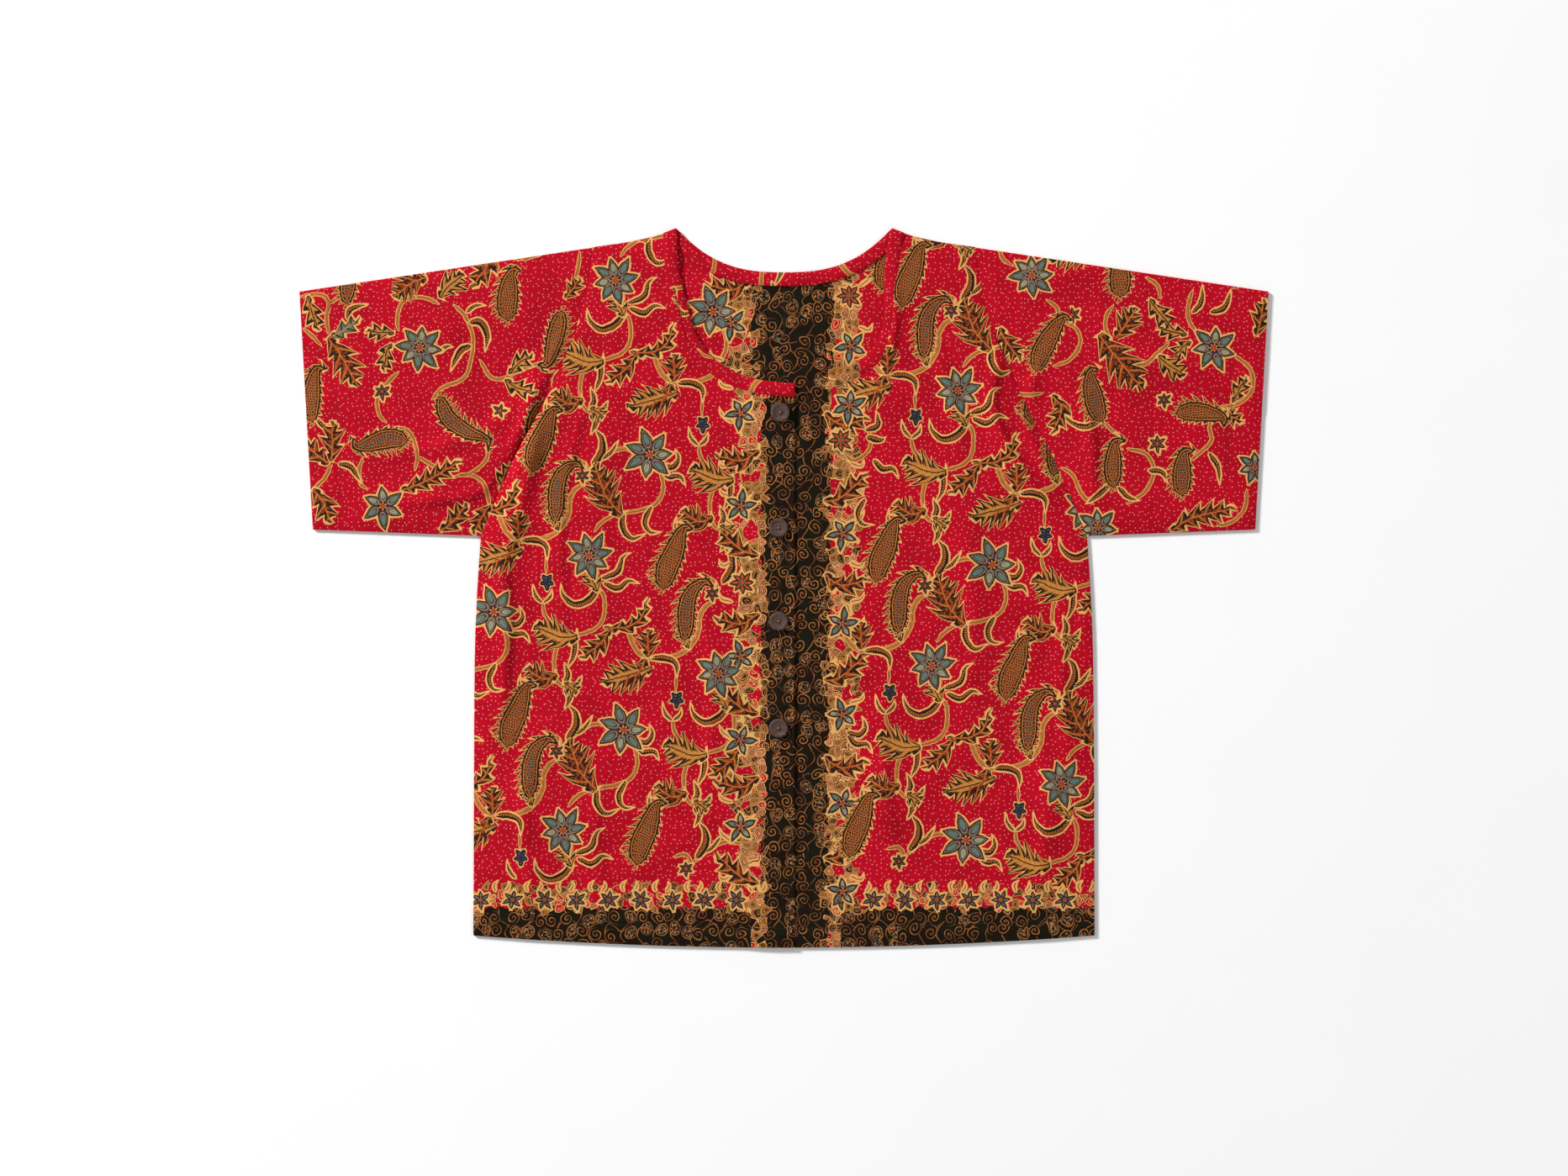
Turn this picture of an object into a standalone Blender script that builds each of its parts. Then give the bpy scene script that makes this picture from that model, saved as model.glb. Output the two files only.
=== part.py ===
"""A batik crop shirt laid flat on its back, with its sleeves spread and its front buttoned.

Metres, +Z up. The shirt lies on z = 0 with its neck towards +Y, face up, so the wearer's right is at -X.
The origin is the middle of its outline, on the surface that it lies on. Each cut piece is a wall of cloth:
two back halves, two fronts, two sleeves folded along the overarm, and the binding round the neck.
"""

import math
from collections import namedtuple

import bmesh
import bpy
from mathutils import Matrix, Vector
from mathutils.geometry import delaunay_2d_cdt, intersect_point_line

MM = 0.001

# Cloth and the gaps between its layers
CLOTH = 1.0 * MM
LAYER_GAP = 0.3 * MM
SEAM_GAP = 0.3 * MM
FRONT_UNDERSIDE = CLOTH + LAYER_GAP

# Overall sizes of the shirt laid flat
LENGTH = 564.0 * MM
HALF_NECK = 84.5 * MM
BACK_NECK_DROP = 34.5 * MM
BACK_NECK_ROUNDNESS = 2.7
HALF_HEM = 243.5 * MM
HEM_LIFT_AT_SIDE = 9.5 * MM
TOP_LAP = 8.3 * MM
UNDER_LAP = 15.0 * MM
BINDING_WIDTH = 10.5 * MM
NECK_LEVEL = LENGTH / 2

# Outlines of one half, in millimetres: distance from the centre line, and drop below the neck point
Place = namedtuple("Place", "out drop")
SHOULDER_LINE = (Place(84.5, 0), Place(98, 5.2), Place(111.5, 9.0), Place(150.5, 14.8))
OVERARM_END = Place(380.0, 49.2)
SLEEVE_HEM_FOOT = Place(369.5, 236.0)
ARMHOLE = (
    Place(150.5, 14.8),
    Place(155.0, 47.5),
    Place(164.0, 80.0),
    Place(177.0, 111.5),
    Place(193.0, 146.0),
    Place(213.0, 184.0),
    Place(237.5, 241.0),
)
SIDE_SEAM = (Place(237.5, 241.0), Place(240.7, 292.0), Place(242.6, 360.0), Place(243.5, 554.5))
TOP_FRONT_NECKLINE = (
    Place(84.5, 0),
    Place(82.6, 32),
    Place(78.6, 51),
    Place(74.0, 69),
    Place(68.2, 85),
    Place(58.5, 99),
    Place(44.0, 110),
    Place(24.0, 118),
    Place(0.0, 121.5),
)
UNDER_FRONT_NECKLINE = (
    Place(84.5, 0),
    Place(80.2, 20),
    Place(78.8, 42),
    Place(78.6, 63),
    Place(76.4, 82),
    Place(69.0, 96),
    Place(56.0, 105.5),
    Place(40.0, 113.5),
    Place(20.0, 119.5),
    Place(0.0, 121.5),
)

# Soft folds of the upper layer, in millimetres: start, middle and end of each crest, half width and height
Fold = namedtuple("Fold", "x0 y0 x1 y1 x2 y2 half_width height")
FOLDS = (
    Fold(-180, 152, -201, 95, -217, 33, 15, 4.5),
    Fold(-222, 33, -228, -40, -224, -132, 13, 2.6),
    Fold(-104, 266, -98, 237, -88, 198, 10, 1.6),
    Fold(-193, 145, -239, 100, -300, 78, 18, 2.2),
    Fold(-172, 236, -225, 214, -310, 196, 22, 1.4),
    Fold(-140, 118, -153, 39, -146, -40, 20, 1.6),
    Fold(-193, -106, -201, -172, -196, -262, 18, 1.8),
    Fold(-54, 10, -47, -86, -53, -190, 18, 1.2),
    Fold(117, 256, 94, 224, 88, 171, 11, 2.2),
    Fold(186, 210, 166, 152, 216, 64, 14, 3.6),
    Fold(117, 105, 140, 39, 150, -40, 18, 2.2),
    Fold(224, 150, 238, 104, 246, 66, 11, 2.0),
    Fold(205, 212, 262, 178, 335, 176, 20, 1.5),
    Fold(200, -93, 210, -159, 203, -262, 18, 1.8),
    Fold(84, -50, 79, -146, 86, -240, 20, 1.3),
)
FOLD_FADE = 12 * MM
FOLD_STEEPNESS = 1.4
FOLD_TAPER = 0.08
CREST_STEPS = 10

# Where the cloth climbs over what lies under it
TIP_RISE = CLOTH + SEAM_GAP
TIP_RISE_FULL = 15 * MM
TIP_RISE_END = 42 * MM
LAP_RAMP = (-34 * MM, -17 * MM)
NECK_LAP_RAMP = (104 * MM, 126 * MM)

# Spacing of the points of each mesh
FRONT_SPACING = 16 * MM
BACK_SPACING = 32 * MM
OUTLINE_SPACING = 11 * MM
BINDING_SPACING = 8 * MM
CURVE_STEPS = 12
NECKLINE_STEPS = 60
SLEEVE_STATIONS = 13
OVERARM_STEPS = 6

# Buttons: across and up from the centre of the shirt
BUTTON_PLACES = ((-3.0 * MM, 137.6 * MM), (-4.3 * MM, 47.2 * MM), (-4.3 * MM, -26.1 * MM), (-4.3 * MM, -109.9 * MM))
BUTTON_SIDES = 24
RingPoint = namedtuple("RingPoint", "radius height")
BUTTON_PROFILE = (
    RingPoint(0.0, 0.0),
    RingPoint(5.4, 0.0),
    RingPoint(7.0, 0.6),
    RingPoint(7.5, 1.5),
    RingPoint(7.2, 2.4),
    RingPoint(6.0, 3.0),
    RingPoint(4.4, 3.1),
    RingPoint(3.6, 2.7),
    RingPoint(0.0, 2.6),
)
HOLE_RADIUS = 0.75 * MM
HOLE_SPACING = 1.55 * MM
HOLE_SIDES = 8

Finish = namedtuple("Finish", "name colour roughness")
RED_CLOTH = Finish("batik_cloth", (0.50, 0.02, 0.035, 1), 0.85)
BINDING_CLOTH = Finish("binding_cloth", (0.42, 0.02, 0.04, 1), 0.85)
COCONUT = Finish("coconut_shell", (0.075, 0.045, 0.038, 1), 0.5)


def clear_scene():
    for thing in list(bpy.data.objects):
        bpy.data.objects.remove(thing, do_unlink=True)


def material(finish):
    """The Principled material of a finish, made once."""
    made = bpy.data.materials.get(finish.name)
    if made is None:
        made = bpy.data.materials.new(finish.name)
        made.use_nodes = True
        shader = made.node_tree.nodes["Principled BSDF"]
        shader.inputs["Base Color"].default_value = finish.colour
        shader.inputs["Roughness"].default_value = finish.roughness
        shader.inputs["Metallic"].default_value = 0.0
    return made


def add_object(name, mesh, finish):
    mesh.materials.append(material(finish))
    made = bpy.data.objects.new(name, mesh)
    bpy.context.scene.collection.objects.link(made)
    return made


def smoothstep(value, low, high):
    t = min(1.0, max(0.0, (value - low) / (high - low)))
    return t * t * (3 - 2 * t)


# Curves of the outline

def at(place):
    """A table's place as a point of the shirt's right-hand half, in metres."""
    return Vector((place.out * MM, NECK_LEVEL - place.drop * MM))


def smooth_curve(places, spacing):
    """Points about this far apart along a Catmull-Rom curve through the places, ends included."""
    knots = [at(place) for place in places]
    knots = [2 * knots[0] - knots[1], *knots, 2 * knots[-1] - knots[-2]]
    dense = [knots[1]]
    for before, start, end, after in zip(knots, knots[1:], knots[2:], knots[3:]):
        for step in range(1, CURVE_STEPS + 1):
            t = step / CURVE_STEPS
            dense.append(
                0.5
                * (
                    2 * start
                    + (end - before) * t
                    + (2 * before - 5 * start + 4 * end - after) * t * t
                    + (3 * start - before - 3 * end + after) * t * t * t
                )
            )
    return resampled(dense, spacing)


def resampled(points, spacing):
    """The polyline cut into equal steps of about this length, ends kept."""
    lengths = [(b - a).length for a, b in zip(points, points[1:])]
    count = max(1, round(sum(lengths) / spacing))
    step = sum(lengths) / count
    found, walked, index = [points[0]], 0.0, 0
    for k in range(1, count):
        while walked + lengths[index] < k * step:
            walked += lengths[index]
            index += 1
        found.append(points[index].lerp(points[index + 1], (k * step - walked) / lengths[index]))
    return [*found, points[-1]]


def hem_line(start_out, end_out, spacing):
    count = max(1, round(abs(end_out - start_out) / spacing))
    outs = [start_out + (end_out - start_out) * k / count for k in range(count + 1)]
    return [Vector((out, -NECK_LEVEL + HEM_LIFT_AT_SIDE * (out / HALF_HEM) ** 2)) for out in outs]


def back_neckline(spacing):
    """From the neck point to the centre back."""
    def drop(out):
        return BACK_NECK_DROP * (1 - (out / HALF_NECK) ** BACK_NECK_ROUNDNESS)

    outs = [HALF_NECK * (1 - k / NECKLINE_STEPS) for k in range(NECKLINE_STEPS + 1)]
    return resampled([Vector((out, NECK_LEVEL - drop(out))) for out in outs], spacing)


def front_neckline(places, lap, spacing):
    """From the neck point round to the centre front and past it, to the front edge."""
    edge = Vector((-lap, NECK_LEVEL - places[-1].drop * MM))
    return [*smooth_curve(places, spacing), edge]


def mirrored(points, side):
    return [Vector((side * p.x, p.y)) for p in points]


def shoulder_start(distance):
    """The place this far down the shoulder from the neck point."""
    start, below = at(SHOULDER_LINE[0]), at(SHOULDER_LINE[1])
    return start + (below - start).normalized() * distance


def shoulder(spacing):
    """From the armhole up to the neck point, with the places where the binding is cut off."""
    straight = [shoulder_start(0), shoulder_start(BINDING_WIDTH / 2), shoulder_start(BINDING_WIDTH)]
    return list(reversed(straight + smooth_curve(SHOULDER_LINE[1:], spacing)))


def armhole():
    """From the underarm up to the shoulder, in the points that the panels and the sleeve share."""
    return list(reversed(smooth_curve(ARMHOLE, OUTLINE_SPACING)))


def inset(curve, width):
    """The curve moved this far to its left."""
    moved = []
    for k, point in enumerate(curve):
        ahead = curve[min(k + 1, len(curve) - 1)] - curve[max(k - 1, 0)]
        ahead.normalize()
        moved.append(point + width * Vector((-ahead.y, ahead.x)))
    return moved


def table_out(places, drop):
    """Distance from the centre line at a drop, read along a table."""
    for upper, lower in zip(places, places[1:]):
        if drop <= lower.drop:
            t = (drop - upper.drop) / (lower.drop - upper.drop)
            return upper.out + (lower.out - upper.out) * max(0.0, t)
    return places[-1].out


# Height of the cloth above the surface

def edge_distance(x, y):
    """How far a point lies inside the folded and sewn edges that the folds die away at."""
    out, drop = abs(x) / MM, (NECK_LEVEL - y) / MM
    end, start = OVERARM_END, SHOULDER_LINE[2]
    overarm = end.drop + (out - end.out) * (end.drop - start.drop) / (end.out - start.out)
    distances = [drop - overarm]
    underarm = ARMHOLE[-1]
    if out > underarm.out:
        distances.append(SLEEVE_HEM_FOOT.drop - drop)
    if drop > underarm.drop:
        distances.append(table_out(SIDE_SEAM, drop) - out)
    return max(0.0, min(distances)) * MM


def crest_point(fold, t):
    """A point of the parabola through the fold's start, middle and end."""
    pull_x = 2 * fold.x1 - (fold.x0 + fold.x2) / 2
    pull_y = 2 * fold.y1 - (fold.y0 + fold.y2) / 2
    a, b, c = (1 - t) ** 2, 2 * t * (1 - t), t * t
    return Vector((a * fold.x0 + b * pull_x + c * fold.x2, a * fold.y0 + b * pull_y + c * fold.y2)) * MM


def fold_height(fold, x, y):
    """One fold: a rounded ridge along its crest, dying away towards its ends."""
    here, best = Vector((x, y)), 0.0
    for k in range(CREST_STEPS):
        start, end = crest_point(fold, k / CREST_STEPS), crest_point(fold, (k + 1) / CREST_STEPS)
        _, along = intersect_point_line(here, start, end)
        along = min(1.0, max(0.0, along))
        away = (here - start.lerp(end, along)).length / (fold.half_width * MM)
        share = FOLD_TAPER + (1 - 2 * FOLD_TAPER) * (k + along) / CREST_STEPS
        best = max(best, math.sin(math.pi * share) * math.exp(-FOLD_STEEPNESS * away * away))
    return fold.height * MM * best


def upper_height(x, y):
    """Underside of the upper layer: the fronts and the tops of the sleeves."""
    lift = sum(fold_height(fold, x, y) for fold in FOLDS)
    tip = (Vector((abs(x), y)) - at(SHOULDER_LINE[0])).length
    rise = TIP_RISE * (1 - smoothstep(tip, TIP_RISE_FULL, TIP_RISE_END))
    return FRONT_UNDERSIDE + max(rise, lift * smoothstep(edge_distance(x, y), 0, FOLD_FADE))


def top_front_height(x, y):
    """The buttoned front also climbs over the front under it, and over that front's neck binding."""
    over_front = smoothstep(x, *LAP_RAMP)
    over_binding = smoothstep(y, *NECK_LAP_RAMP)
    lap = over_front * (CLOTH + LAYER_GAP + over_binding * (CLOTH + SEAM_GAP))
    return upper_height(x, y) + lap


def back_height(x, y):
    return 0.0


# Walls of cloth

def solidify(thing, offset):
    """Gives a sheet the cloth's thickness: offset 1 builds it upwards, 0 to both sides."""
    wall = thing.modifiers.new("cloth", "SOLIDIFY")
    wall.thickness = CLOTH
    wall.offset = offset
    wall.use_even_offset = True


def inner_points(outline, spacing, clear_of):
    """A triangular grid of points inside the outline and clear of its edge and of other points."""
    xs, ys = [p.x for p in outline], [p.y for p in outline]
    row_step = spacing * math.sqrt(3) / 2
    rows = int((max(ys) - min(ys)) / row_step) + 1
    columns = int((max(xs) - min(xs)) / spacing) + 2
    found = []
    for row in range(rows):
        for column in range(columns):
            shift = spacing / 2 if row % 2 else 0.0
            point = Vector((min(xs) + shift + column * spacing, min(ys) + row * row_step))
            if inside(point, outline) and all((point - q).length > 0.6 * spacing for q in clear_of):
                found.append(point)
    return found


def inside(point, outline):
    crossings = 0
    for a, b in zip(outline, outline[1:] + outline[:1]):
        if (a.y > point.y) != (b.y > point.y):
            crossings += point.x < a.x + (b.x - a.x) * (point.y - a.y) / (b.y - a.y)
    return crossings % 2 == 1


def panel(name, outline, seam_rows, height, spacing, finish):
    """A flat-cut piece: its outline filled with triangles, laid at a height and given its thickness."""
    grid = inner_points(outline, spacing, outline + seam_rows)
    points = outline + seam_rows + grid
    loop = list(range(len(outline)))
    verts, _, faces, *_ = delaunay_2d_cdt(points, [], [loop], 1, 1e-7)
    mesh = bpy.data.meshes.new(name)
    mesh.from_pydata([(v.x, v.y, height(v.x, v.y)) for v in verts], [], [list(f) for f in faces])
    face_upwards(mesh)
    made = add_object(name, mesh, finish)
    solidify(made, 1)
    return made


def face_upwards(mesh):
    shape = bmesh.new()
    shape.from_mesh(mesh)
    for face in shape.faces:
        face.normal_update()
        if face.normal.z < 0:
            face.normal_flip()
    shape.to_mesh(mesh)
    shape.free()


def strip(name, rows, height, finish):
    """A long strip of cloth between rows of matching points, lying on the panel at that height."""
    points = [p for row in rows for p in row]
    per_row = len(rows[0])
    faces = [
        (r * per_row + k, r * per_row + k + 1, (r + 1) * per_row + k + 1, (r + 1) * per_row + k)
        for r in range(len(rows) - 1)
        for k in range(per_row - 1)
    ]
    mesh = bpy.data.meshes.new(name)
    lift = CLOTH + SEAM_GAP
    mesh.from_pydata([(p.x, p.y, height(p.x, p.y) + lift) for p in points], [], faces)
    face_upwards(mesh)
    made = add_object(name, mesh, finish)
    solidify(made, 1)
    return made


# Pieces of the shirt

def back_half(name, side):
    neck = back_neckline(BINDING_SPACING)
    hem = hem_line(SEAM_GAP / 2, HALF_HEM, BACK_SPACING)
    side_seam = list(reversed(smooth_curve(SIDE_SEAM, BACK_SPACING)))
    centre_back = [Vector((SEAM_GAP / 2, neck[-1].y))]
    upper = armhole()[:-1] + shoulder(BACK_SPACING)[:-1] + neck[:-1] + centre_back
    outline = hem[:-1] + side_seam[:-1] + upper
    inner = under_binding(neck)
    return panel(name, mirrored(outline, side), mirrored(inner, side), back_height, BACK_SPACING, RED_CLOTH)


def front(name, side, places, lap, height):
    neck = front_neckline(places, lap, BINDING_SPACING)
    hem = hem_line(-lap, HALF_HEM, OUTLINE_SPACING)
    side_seam = list(reversed(smooth_curve(SIDE_SEAM, OUTLINE_SPACING)))
    front_edge = resampled([neck[-1], hem[0]], OUTLINE_SPACING)
    upper = armhole()[:-1] + shoulder(OUTLINE_SPACING)[:-1] + neck[:-1]
    outline = hem[:-1] + side_seam[:-1] + upper + front_edge[:-1]
    inner = under_binding(neck)
    return panel(name, mirrored(outline, side), mirrored(inner, side), height, FRONT_SPACING, RED_CLOTH)


def binding_rows(neck):
    """The strip's two edges and its middle, cut off along the shoulder at the neck point."""
    rows = [neck]
    for width in (BINDING_WIDTH / 2, BINDING_WIDTH):
        rows.append([shoulder_start(width), *inset(neck, width)[1:]])
    return rows


def under_binding(neck):
    """The points that a panel needs inside its outline, so that the strip follows it."""
    return [point for row in binding_rows(neck)[1:] for point in row[1:-1]]


def front_binding(name, side, places, lap, height):
    rows = binding_rows(front_neckline(places, lap, BINDING_SPACING))
    return strip(name, [mirrored(row, side) for row in rows], height, BINDING_CLOTH)


def back_binding(name):
    halves = binding_rows(back_neckline(BINDING_SPACING))
    rows = [mirrored(row, -1) + list(reversed(row))[1:] for row in halves]
    return strip(name, rows, back_height, BINDING_CLOTH)


def sleeve(name, side):
    """One piece folded along the overarm, its two edges meeting in the underarm seam."""
    fold_radius = (CLOTH + LAYER_GAP) / 2
    reach = fold_radius + CLOTH / 2
    seam = armhole()
    rows = len(seam) - 1
    foot, head = at(SLEEVE_HEM_FOOT), at(OVERARM_END)
    seam_shift = Vector((SEAM_GAP, 0))
    sections = []
    for station in range(SLEEVE_STATIONS + 1):
        along = station / SLEEVE_STATIONS
        flat = [(p + seam_shift).lerp(foot.lerp(head, k / rows), along) for k, p in enumerate(seam)]
        flat[-1] = flat[-1] + (flat[-2] - flat[-1]).normalized() * reach
        outward = (flat[-1] - flat[-2]).normalized()
        upper = [(p.x, p.y, upper_height(side * p.x, p.y) + CLOTH / 2) for p in flat]
        turn = []
        for step in range(1, OVERARM_STEPS):
            angle = math.pi * step / OVERARM_STEPS
            place = flat[-1] + outward * fold_radius * math.sin(angle)
            turn.append((place.x, place.y, FRONT_UNDERSIDE / 2 + CLOTH / 2 + fold_radius * math.cos(angle)))
        lower = [(p.x, p.y, CLOTH / 2) for p in reversed(flat)]
        sections.append(upper + turn + lower)
    width = len(sections[0])
    points = [(side * x, y, z) for section in sections for x, y, z in section]
    faces = [
        (s * width + k, s * width + k + 1, (s + 1) * width + k + 1, (s + 1) * width + k)
        for s in range(SLEEVE_STATIONS)
        for k in range(width - 1)
    ]
    if side > 0:
        faces = [tuple(reversed(face)) for face in faces]
    mesh = bpy.data.meshes.new(name)
    mesh.from_pydata(points, [], faces)
    made = add_object(name, mesh, RED_CLOTH)
    solidify(made, 0)
    return made


def button_mesh():
    """A turned coconut-shell button with a dished face and four sewing holes, its back on z = 0."""
    disc = bpy.data.objects.new("button_blank", turned(BUTTON_PROFILE))
    rods = bpy.data.objects.new("button_drill", drill_rods())
    for helper in (disc, rods):
        bpy.context.scene.collection.objects.link(helper)
    cut = disc.modifiers.new("holes", "BOOLEAN")
    cut.operation = "DIFFERENCE"
    cut.object = rods
    graph = bpy.context.evaluated_depsgraph_get()
    drilled = bpy.data.meshes.new_from_object(disc.evaluated_get(graph))
    for helper in (disc, rods):
        bpy.data.objects.remove(helper, do_unlink=True)
    drilled.name = "button"
    drilled.shade_smooth()
    drilled.set_sharp_from_angle(angle=math.radians(40))
    return drilled


def turned(profile):
    """A profile of (radius, height) points turned round the vertical axis."""
    shape = bmesh.new()
    ring = [shape.verts.new((p.radius * MM, 0, p.height * MM)) for p in profile]
    edges = [shape.edges.new(pair) for pair in zip(ring, ring[1:])]
    bmesh.ops.spin(
        shape,
        geom=ring + edges,
        cent=(0, 0, 0),
        axis=(0, 0, 1),
        angle=2 * math.pi,
        steps=BUTTON_SIDES,
        use_merge=True,
    )
    bmesh.ops.remove_doubles(shape, verts=shape.verts, dist=1e-6)
    bmesh.ops.recalc_face_normals(shape, faces=shape.faces)
    mesh = bpy.data.meshes.new("turned")
    shape.to_mesh(mesh)
    shape.free()
    return mesh


def drill_rods():
    """Four upright rods where the sewing holes go."""
    shape = bmesh.new()
    for index in range(4):
        angle = math.pi * (0.25 + index / 2)
        centre = Vector((math.cos(angle), math.sin(angle), 0)) * HOLE_SPACING
        bmesh.ops.create_cone(
            shape,
            cap_ends=True,
            segments=HOLE_SIDES,
            radius1=HOLE_RADIUS,
            radius2=HOLE_RADIUS,
            depth=10 * MM,
            matrix=Matrix.Translation(centre),
        )
    mesh = bpy.data.meshes.new("rods")
    shape.to_mesh(mesh)
    shape.free()
    return mesh


def button(name, mesh, place, height):
    made = add_object(name, mesh, COCONUT)
    x, y = place
    made.location = (x, y, height(x, y) + CLOTH + SEAM_GAP)
    return made


def main():
    clear_scene()
    back_half("back_right", -1)
    back_half("back_left", 1)
    back_binding("neck_binding_back")
    front("left_front", 1, UNDER_FRONT_NECKLINE, UNDER_LAP, upper_height)
    front_binding("neck_binding_left", 1, UNDER_FRONT_NECKLINE, UNDER_LAP, upper_height)
    front("right_front", -1, TOP_FRONT_NECKLINE, TOP_LAP, top_front_height)
    front_binding("neck_binding_right", -1, TOP_FRONT_NECKLINE, TOP_LAP, top_front_height)
    sleeve("right_sleeve", -1)
    sleeve("left_sleeve", 1)
    turned_button = button_mesh()
    for index, place in enumerate(BUTTON_PLACES):
        button(f"button_{index + 1}", turned_button.copy(), place, top_front_height)


main()
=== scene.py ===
"""A batik crop shirt laid flat on its back: printed cotton shells, bound neck, seams, stitches and buttons.

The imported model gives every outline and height. Each cut piece becomes a fine shell of cloth on its solid's
form. The print is laid out as motifs in photo pixels, and each motif is drawn by a node group from its own
coordinates, which the cloth's face corners carry.
"""

import logging
import math
import re
from dataclasses import dataclass
from enum import Enum
from functools import cache, partialmethod
from typing import Callable, NamedTuple, Sequence

import bpy
import numpy as np
from mathutils import Matrix, Vector, noise
from mathutils.bvhtree import BVHTree
from mathutils.geometry import delaunay_2d_cdt

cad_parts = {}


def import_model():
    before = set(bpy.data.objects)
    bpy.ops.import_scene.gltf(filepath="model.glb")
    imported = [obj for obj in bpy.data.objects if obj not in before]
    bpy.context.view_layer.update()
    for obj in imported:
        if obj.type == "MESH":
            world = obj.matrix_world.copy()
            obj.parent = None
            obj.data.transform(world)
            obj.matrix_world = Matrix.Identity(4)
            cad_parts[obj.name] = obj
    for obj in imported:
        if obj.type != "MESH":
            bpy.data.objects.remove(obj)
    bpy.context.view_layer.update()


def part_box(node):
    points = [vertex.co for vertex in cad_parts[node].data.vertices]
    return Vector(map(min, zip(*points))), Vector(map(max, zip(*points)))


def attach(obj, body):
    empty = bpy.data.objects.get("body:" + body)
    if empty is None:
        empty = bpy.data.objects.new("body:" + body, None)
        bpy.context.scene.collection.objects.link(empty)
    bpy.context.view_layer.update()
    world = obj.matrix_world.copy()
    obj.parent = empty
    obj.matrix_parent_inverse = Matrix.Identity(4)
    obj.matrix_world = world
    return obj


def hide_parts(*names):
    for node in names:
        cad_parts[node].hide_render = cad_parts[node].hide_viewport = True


LOG = logging.getLogger("shirt")
MM = 0.001
PIXEL = 0.66 * MM
PHOTO_WIDTH, PHOTO_HEIGHT = 1865, 1399
Number = "Signal | float"
Point = tuple[float, float]


def photo_point(px: float, py: float) -> tuple[float, float]:
    """The place on the shirt, in metres from its middle, of a point of the photograph in pixels."""
    return (px - PHOTO_WIDTH / 2) * PIXEL, (PHOTO_HEIGHT / 2 - py) * PIXEL


class Dye(Enum):
    """The colours of the print as the photograph shows them: red, green and blue from 0 to 255."""

    CRIMSON = 182, 2, 29
    # Painted shade: the crimson of the ground as it looks in the shade of folds, laid in soft patches over
    # the ground.
    CRIMSON_DEEP = 152, 1, 19
    DOT = 236, 146, 142
    TAN = 222, 166, 94
    TAN_LIGHT = 224, 160, 96
    TAN_ROSE = 208, 128, 84
    OCHRE = 184, 116, 48
    ORANGE = 186, 74, 28
    RUST = 142, 62, 26
    BROWN = 112, 60, 26
    DARK_BROWN = 76, 38, 20
    DARK = 42, 23, 18
    BLACK = 24, 14, 5
    BLACK_GREEN = 20, 19, 8
    SCROLL = 176, 104, 50
    SCROLL_DARK = 112, 64, 34
    PETAL_EDGE = 54, 36, 34
    PETAL = 94, 110, 92
    PETAL_BLUE = 74, 78, 84
    PETAL_LIGHT = 146, 150, 122
    TEAL = 86, 120, 108
    GOLD = 196, 130, 58
    BLUE_GREY = 92, 92, 104
    NAVY = 34, 29, 38
    SHELL = 78, 59, 51
    SHELL_PALE = 106, 84, 73
    SHELL_DARK = 54, 40, 34
    THREAD_TAN = 150, 92, 58
    THREAD_RED = 140, 8, 34

    @property
    def linear(self) -> tuple[float, ...]:
        """The linear colour that a socket holds."""
        shares = [level / 255 for level in self.value]
        return (*(share / 12.92 if share <= 0.04045 else ((share + 0.055) / 1.055) ** 2.4
                  for share in shares), 1.0)


class Signal:
    """A socket of a node tree, with arithmetic that adds Math nodes."""

    def __init__(self, tree: bpy.types.NodeTree, socket: bpy.types.NodeSocket) -> None:
        """Keeps the tree and the output socket."""
        self.tree = tree
        self.socket = socket

    def math(self, operation: str, *others: Number) -> "Signal":
        """Adds a Math node that reads this signal and the others, and returns its result."""
        node = self.tree.nodes.new("ShaderNodeMath")
        node.operation = operation
        for slot, value in enumerate((self, *others)):
            feed(self.tree, node.inputs[slot], value)
        return Signal(self.tree, node.outputs[0])

    __add__ = __radd__ = partialmethod(math, "ADD")
    __mul__ = __rmul__ = partialmethod(math, "MULTIPLY")
    __sub__, __truediv__ = partialmethod(math, "SUBTRACT"), partialmethod(math, "DIVIDE")
    __abs__, power = partialmethod(math, "ABSOLUTE"), partialmethod(math, "POWER")
    at_least, at_most = partialmethod(math, "MAXIMUM"), partialmethod(math, "MINIMUM")
    above, bearing = partialmethod(math, "GREATER_THAN"), partialmethod(math, "ARCTAN2")
    fraction, floor = partialmethod(math, "FRACT"), partialmethod(math, "FLOOR")
    sine, cosine = partialmethod(math, "SINE"), partialmethod(math, "COSINE")
    root, sign = partialmethod(math, "SQRT"), partialmethod(math, "SIGN")

    def __rsub__(self, other: float) -> "Signal":
        """A number less this signal."""
        return (self * -1.0) + other

    def __neg__(self) -> "Signal":
        """The negative."""
        return self * -1.0

    def rise(self, low: float, high: float) -> "Signal":
        """A smooth step from 0 at low to 1 at high."""
        node = self.tree.nodes.new("ShaderNodeMapRange")
        node.interpolation_type = "SMOOTHSTEP"
        for name, value in (("Value", self), ("From Min", low), ("From Max", high)):
            feed(self.tree, node.inputs[name], value)
        return Signal(self.tree, node.outputs["Result"])

    def inside(self, edge: float = 0.0, blur: float = 0.22) -> "Signal":
        """1 where this distance is below the edge, else 0, with a soft change between."""
        return 1.0 - self.rise(edge - blur, edge + blur)

    def line(self, half_width: float, blur: float = 0.16) -> "Signal":
        """1 along the places where this distance is near zero."""
        return abs(self).inside(half_width, blur)


def feed(tree: bpy.types.NodeTree, socket: bpy.types.NodeSocket, value: object) -> None:
    """Links a signal into a socket, or sets a number, a vector or a dye on it."""
    if isinstance(value, Signal):
        tree.links.new(value.socket, socket)
    else:
        socket.default_value = value.linear if isinstance(value, Dye) else value


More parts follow.
